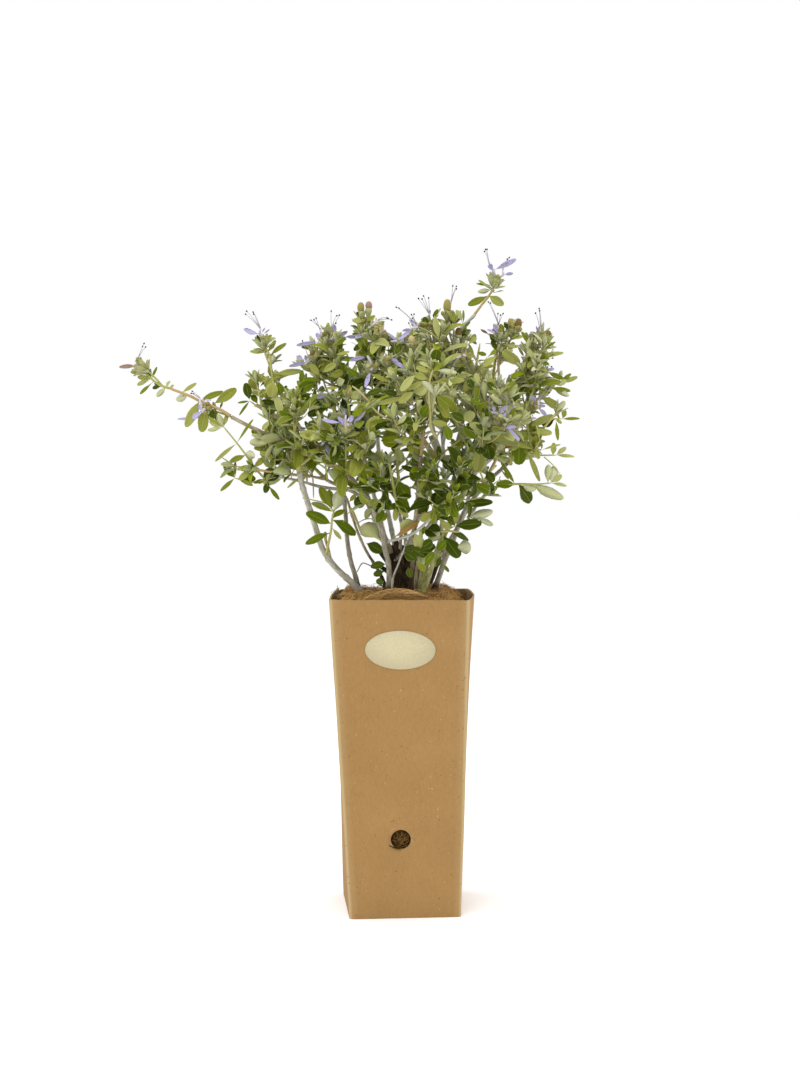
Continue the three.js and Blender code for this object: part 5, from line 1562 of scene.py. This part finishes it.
# The oval label, bare, stuck on the front
label = {"height": 218, "halfWidth": 28, "halfHeight": 15.5, "thickness": 0.16, "stand": 0.34}
bm = bmesh.new()
bmesh.ops.create_circle(bm, segments=96, radius=1, cap_ends=True)
bmesh.ops.scale(bm, verts=bm.verts, vec=(label["halfWidth"], label["halfHeight"], 1))
bmesh.ops.inset_region(bm, faces=list(bm.faces), thickness=0.5)
bmesh.ops.inset_region(bm, faces=[f for f in bm.faces if len(f.verts) > 4], thickness=7)
bmesh.ops.poke(bm, faces=[f for f in bm.faces if len(f.verts) > 4])
made = bmesh.ops.extrude_face_region(bm, geom=list(bm.faces))["geom"]
bmesh.ops.translate(bm, verts=vertsOf(made), vec=(0, 0, label["thickness"]))
bmesh.ops.recalc_face_normals(bm, faces=bm.faces)
for vert in bm.verts:
    z = label["height"] + vert.co.y
    across = vert.co.x / (mix(pot["footSide"], pot["topSide"], z / pot["height"]) / pot["topSide"])
    p = sleeve(across, -rimHalf, z)
    out = Vector((p.x, p.y, 0)).normalized()
    p += out * boardWave(p.x, p.y, z) + Vector((0, -1, 0)) * (label["stand"] + vert.co.z)
    vert.co = p * mm
dress(newPiece("plain_label", meshFrom(bm, "plain_label")), ["label"], ["label"])

# Potting mix behind the holes, and the fine roots that show there
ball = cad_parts["root_ball"]
ball.data.materials.clear()
ball.data.materials.append(looks["soil"])


# Many fine strands at once. paths is strands x points x 3.
def addStrands(piece, paths, radii, look, taper=0.5):
    count, steps = paths.shape[:2]
    along = unit(np.gradient(paths, axis=1))
    side = unit(np.cross(along, (0.36, 0.48, 0.8)))
    lift = np.cross(along, side)
    angles = np.arange(3) * math.tau / 3
    thin = np.asarray(radii)[:, None] * np.linspace(1, taper, steps)
    rings = paths[:, :, None] + thin[..., None, None] * (np.cos(angles)[:, None] * side[:, :, None]
                                                         + np.sin(angles)[:, None] * lift[:, :, None])
    caps = np.array([(2, 1, 0, -1), (steps * 3 - 3, steps * 3 - 2, steps * 3 - 1, -1)])
    faces = np.concatenate([wallsOf(steps, 3), caps])
    allLooks = np.repeat(look, len(faces)) if np.ndim(look) else look
    pileUp(piece, rings.reshape(-1, 3), repeated(faces, count, steps * 3), allLooks)


dice = np.random.default_rng(5)


def curlyStrands(roots, headings, lengths, curl, steps=6):
    t = np.linspace(0, 1, steps)[None, :, None]
    bendWay = unit(dice.normal(size=roots.shape))
    second = unit(dice.normal(size=roots.shape))
    return (roots[:, None] + headings[:, None] * lengths[:, None, None] * t
            + bendWay[:, None] * (curl * lengths)[:, None, None] * np.sin(t * math.pi)
            + second[:, None] * (curl * lengths * 0.5)[:, None, None] * np.sin(t * math.tau))


holeRoots = {"counts": ((-1, 90), (1, 60)), "spread": 7.2, "reach": 7.7, "depth": 0.9}  # -1 is the front hole
for face, count in holeRoots["counts"]:
    angle = dice.uniform(0, math.tau, count)
    far = dice.uniform(0, holeRoots["spread"], count)
    depth = face * (mix(pot["footSide"], pot["topSide"], 0.25) / 2 - pot["wall"] + 0.3)
    roots = np.stack([far * np.cos(angle), np.full(count, depth), pot["holeHeight"] + far * np.sin(angle)], 1)
    headings = unit(dice.normal(size=(3, count)).T * (1, 0.12, 1))
    lengths = np.minimum(dice.uniform(2, 7, count), 7.8 - far * 0.6)
    paths = curlyStrands(roots, headings, lengths, 0.25)
    paths[..., 1] = np.clip(paths[..., 1], depth - holeRoots["depth"], depth + holeRoots["depth"])
    keep = np.hypot(paths[..., 0], paths[..., 2] - pot["holeHeight"]).max(1) < holeRoots["reach"]
    addStrands("hole_roots", paths[keep], dice.uniform(0.12, 0.4, keep.sum()), 0)
poking = [  # two thicker roots low in the front hole: their points, thickness at foot and tip, sides and look
    ([(0.5, -47.4, 57.6), (-4, -48.6, 57.9), (-8, -49.2, 59.3), (-9.6, -49.3, 60.2)], 0.8, 0.25, 7, 1),
    ([(1.5, -47.3, 57.3), (-2, -48.8, 56.6), (-6, -49.1, 58.0)], 0.5, 0.2, 6, 0)]
for points, foot, tip, sides, look in poking:
    path = smoothPath(points, 1.0)
    tubeAlong("hole_roots", path, tapered(foot, tip, path), sides, look)
finishPile("hole_roots", ["root", "rootDark"])


# The coir mat: a felted base with thousands of loose fibres
mat = {"half": 52.6, "edge": 250.5, "top": 260, "under": 248.4, "cells": 70, "fibres": 5200, "spread": 50.5}


def matHeight(x, y):
    def bump(middleX, middleY, wide, deep, high):
        return high * np.exp(-(((x - middleX) / wide) ** 2 + ((y - middleY) / deep) ** 2))

    out = np.hypot(x / 46, y / 40)
    plateau = 1 - smoothstep(out, 0.92, 1.18)
    mound = bump(-42, 25, 5.5, 12, 12)
    lip = bump(-3, -46, 24, 4, 12)
    dip = bump(-3, -52, 22, 4.5, 8)
    base = mix(mat["edge"], mat["top"], plateau) + (mound + lip - dip) * (1 - plateau)
    return base + bump(33, 26, 9, 11, 3.6)


bm = bmesh.new()
bmesh.ops.create_grid(bm, x_segments=mat["cells"], y_segments=mat["cells"], size=mat["half"])
top = list(bm.verts)
made = bmesh.ops.extrude_edge_only(bm, edges=[e for e in bm.edges if e.is_boundary])["geom"]
for vert in top:
    x, y = vert.co.x, vert.co.y
    here = Vector((x, y, 0))
    rough = noise.noise(here * 0.3) * 1.0 + noise.noise(here * 0.9) * 0.6 + noise.noise(here * 2.3) * 0.35
    vert.co.z = float(matHeight(x, y)) - 0.8 + rough
for vert in vertsOf(made):
    vert.co.z = mat["under"]
bmesh.ops.contextual_create(bm, geom=[g for g in made if isinstance(g, bmesh.types.BMEdge)])
bmesh.ops.triangulate(bm, faces=[f for f in bm.faces if len(f.verts) > 4])
bmesh.ops.recalc_face_normals(bm, faces=bm.faces)
for vert in bm.verts:
    vert.co = Vector((*turned(vert.co.x, vert.co.y, twistAt(pot["height"])), vert.co.z)) * mm
dress(newPiece("coir_felt", meshFrom(bm, "coir_felt")), ["coir"], ["coir_mat"])

count = mat["fibres"]
x = dice.uniform(-mat["spread"], mat["spread"], count)
y = dice.uniform(-mat["spread"], mat["spread"], count)
third = count // 3  # a third of them on the mounds, where they stand out
rightMound = dice.random(third) < 0.5
x[:third] = np.where(rightMound, dice.normal(34, 6, third), dice.normal(-40, 4, third))
y[:third] = dice.normal(24, 9, third)
x, y = np.clip((x, y), -mat["spread"], mat["spread"])
roots = np.stack([x, y, matHeight(x, y) - 0.6], 1)
sideways = dice.normal(size=(2, count))
headings = unit(np.stack([*sideways, np.abs(dice.normal(0.1, 0.16, count))], 1))
lengths = dice.uniform(4, 15, count)
paths = curlyStrands(roots, headings, lengths, 0.22)
paths = paths[np.abs(paths[..., :2]).max((1, 2)) < 52.3]  # the ones that stay inside the board
floorHeight = matHeight(paths[..., 0], paths[..., 1])
paths[..., 2] = np.clip(paths[..., 2], floorHeight - 0.5, floorHeight + 4.5)
thin = dice.uniform(0.1, 0.22, len(paths))
addStrands("coir_fibres", paths, thin, dice.choice(3, len(paths), p=(0.36, 0.42, 0.22)))

# The rolled lip of fibres at the front, from left to right
frontLip = {"fibres": 520, "left": -31, "right": 26, "y": -47.5, "bow": 2.2, "foot": 256.2, "rise": 8.2,
            "thick": 2.6}
count = frontLip["fibres"]
t = np.linspace(0, 1, 7)[None, :]
start = dice.uniform(0, 0.75, count)[:, None]
s = np.clip(start + t * dice.uniform(0.12, 0.32, count)[:, None], 0, 1)
angle = dice.uniform(0, math.tau, count)[:, None] + t * dice.normal(0, 2, count)[:, None]
far = dice.uniform(0.3, 1.0, count)[:, None]
far = far * (frontLip["thick"] * np.sin(np.clip(s, 0.06, 0.94) * math.pi) ** 0.4)
arch = np.sin(s * math.pi)
lipPath = np.stack([mix(frontLip["left"], frontLip["right"], s),
                    frontLip["y"] - frontLip["bow"] * arch + far * np.cos(angle),
                    frontLip["foot"] + frontLip["rise"] * arch ** 0.8 + far * np.sin(angle)], 2)
thin = dice.uniform(0.12, 0.24, count)
addStrands("coir_fibres", lipPath, thin, dice.choice(3, count, p=(0.34, 0.44, 0.22)))
finishPile("coir_fibres", ["fibrePale", "fibre", "fibreDark"])

# Torn plies of board at the rear left corner of the rim
for i in range(16):
    x = -rimHalf + 0.5 * dice.uniform(0, 3)
    y = rimHalf - 0.5 * dice.uniform(0, 18)
    corner = np.array(sleeve(x, y, pot["height"] - 2))
    place = corner + (dice.normal(0, 0.7), dice.normal(0, 1.5), dice.uniform(-6, 0.5))
    growBlades("torn_plies", fullLeaf, {
        "root": [place], "way": [(dice.normal(-0.1, 0.4), dice.normal(0, 0.6), 1)],
        "across": [(0.3 * dice.normal(), 1, 0)], "length": dice.uniform(3, 6.5),
        "width": dice.uniform(2, 4.5), "bend": dice.normal(0, 0.8), "stalk": 0.01, "wave": 2.2,
        "twist": dice.normal(0, 0.8), "thick": 0.4, "phase": dice.uniform(0, 6)},
        (i % 2, i % 2, i % 2, 1 - i % 2))
finishPile("torn_plies", ["torn", "cardEdge"])
print("pot filled")


# Stage and light
bm = bmesh.new()
bmesh.ops.create_grid(bm, x_segments=1, y_segments=1, size=8)
floor = newPiece("floor", meshFrom(bm, "floor", smooth=False))
floor.data.materials.append(newMaterial("paleFloor", (255, 255, 255), 0.9, 0.1))

world = bpy.data.worlds.new("studio")
world.use_nodes = True
background = world.node_tree.nodes["Background"].inputs
background["Color"].default_value = (1, 1, 1, 1)
background["Strength"].default_value = 1.0
bpy.context.scene.world = world
bpy.context.scene.view_settings.view_transform = "Standard"

lamps = {  # place, size and power of each soft light, in metres and watts
    "overhead": ((-0.3, -0.9, 2.1), 1.0, 18),
    "rightSide": ((1.9, 0.5, 0.9), 1.2, 12),
    "leftSide": ((-1.9, 0.5, 0.9), 1.2, 9),
}
lampTarget = Vector((0, 0, 0.3))
for name, (place, size, power) in lamps.items():
    lampData = bpy.data.lights.new(name, "AREA")
    lampData.size, lampData.energy = size, power
    lamp = bpy.data.objects.new(name, lampData)
    lamp.location = place
    lamp.rotation_euler = (lampTarget - Vector(place)).to_track_quat("-Z", "Y").to_euler()
    bpy.context.scene.collection.objects.link(lamp)
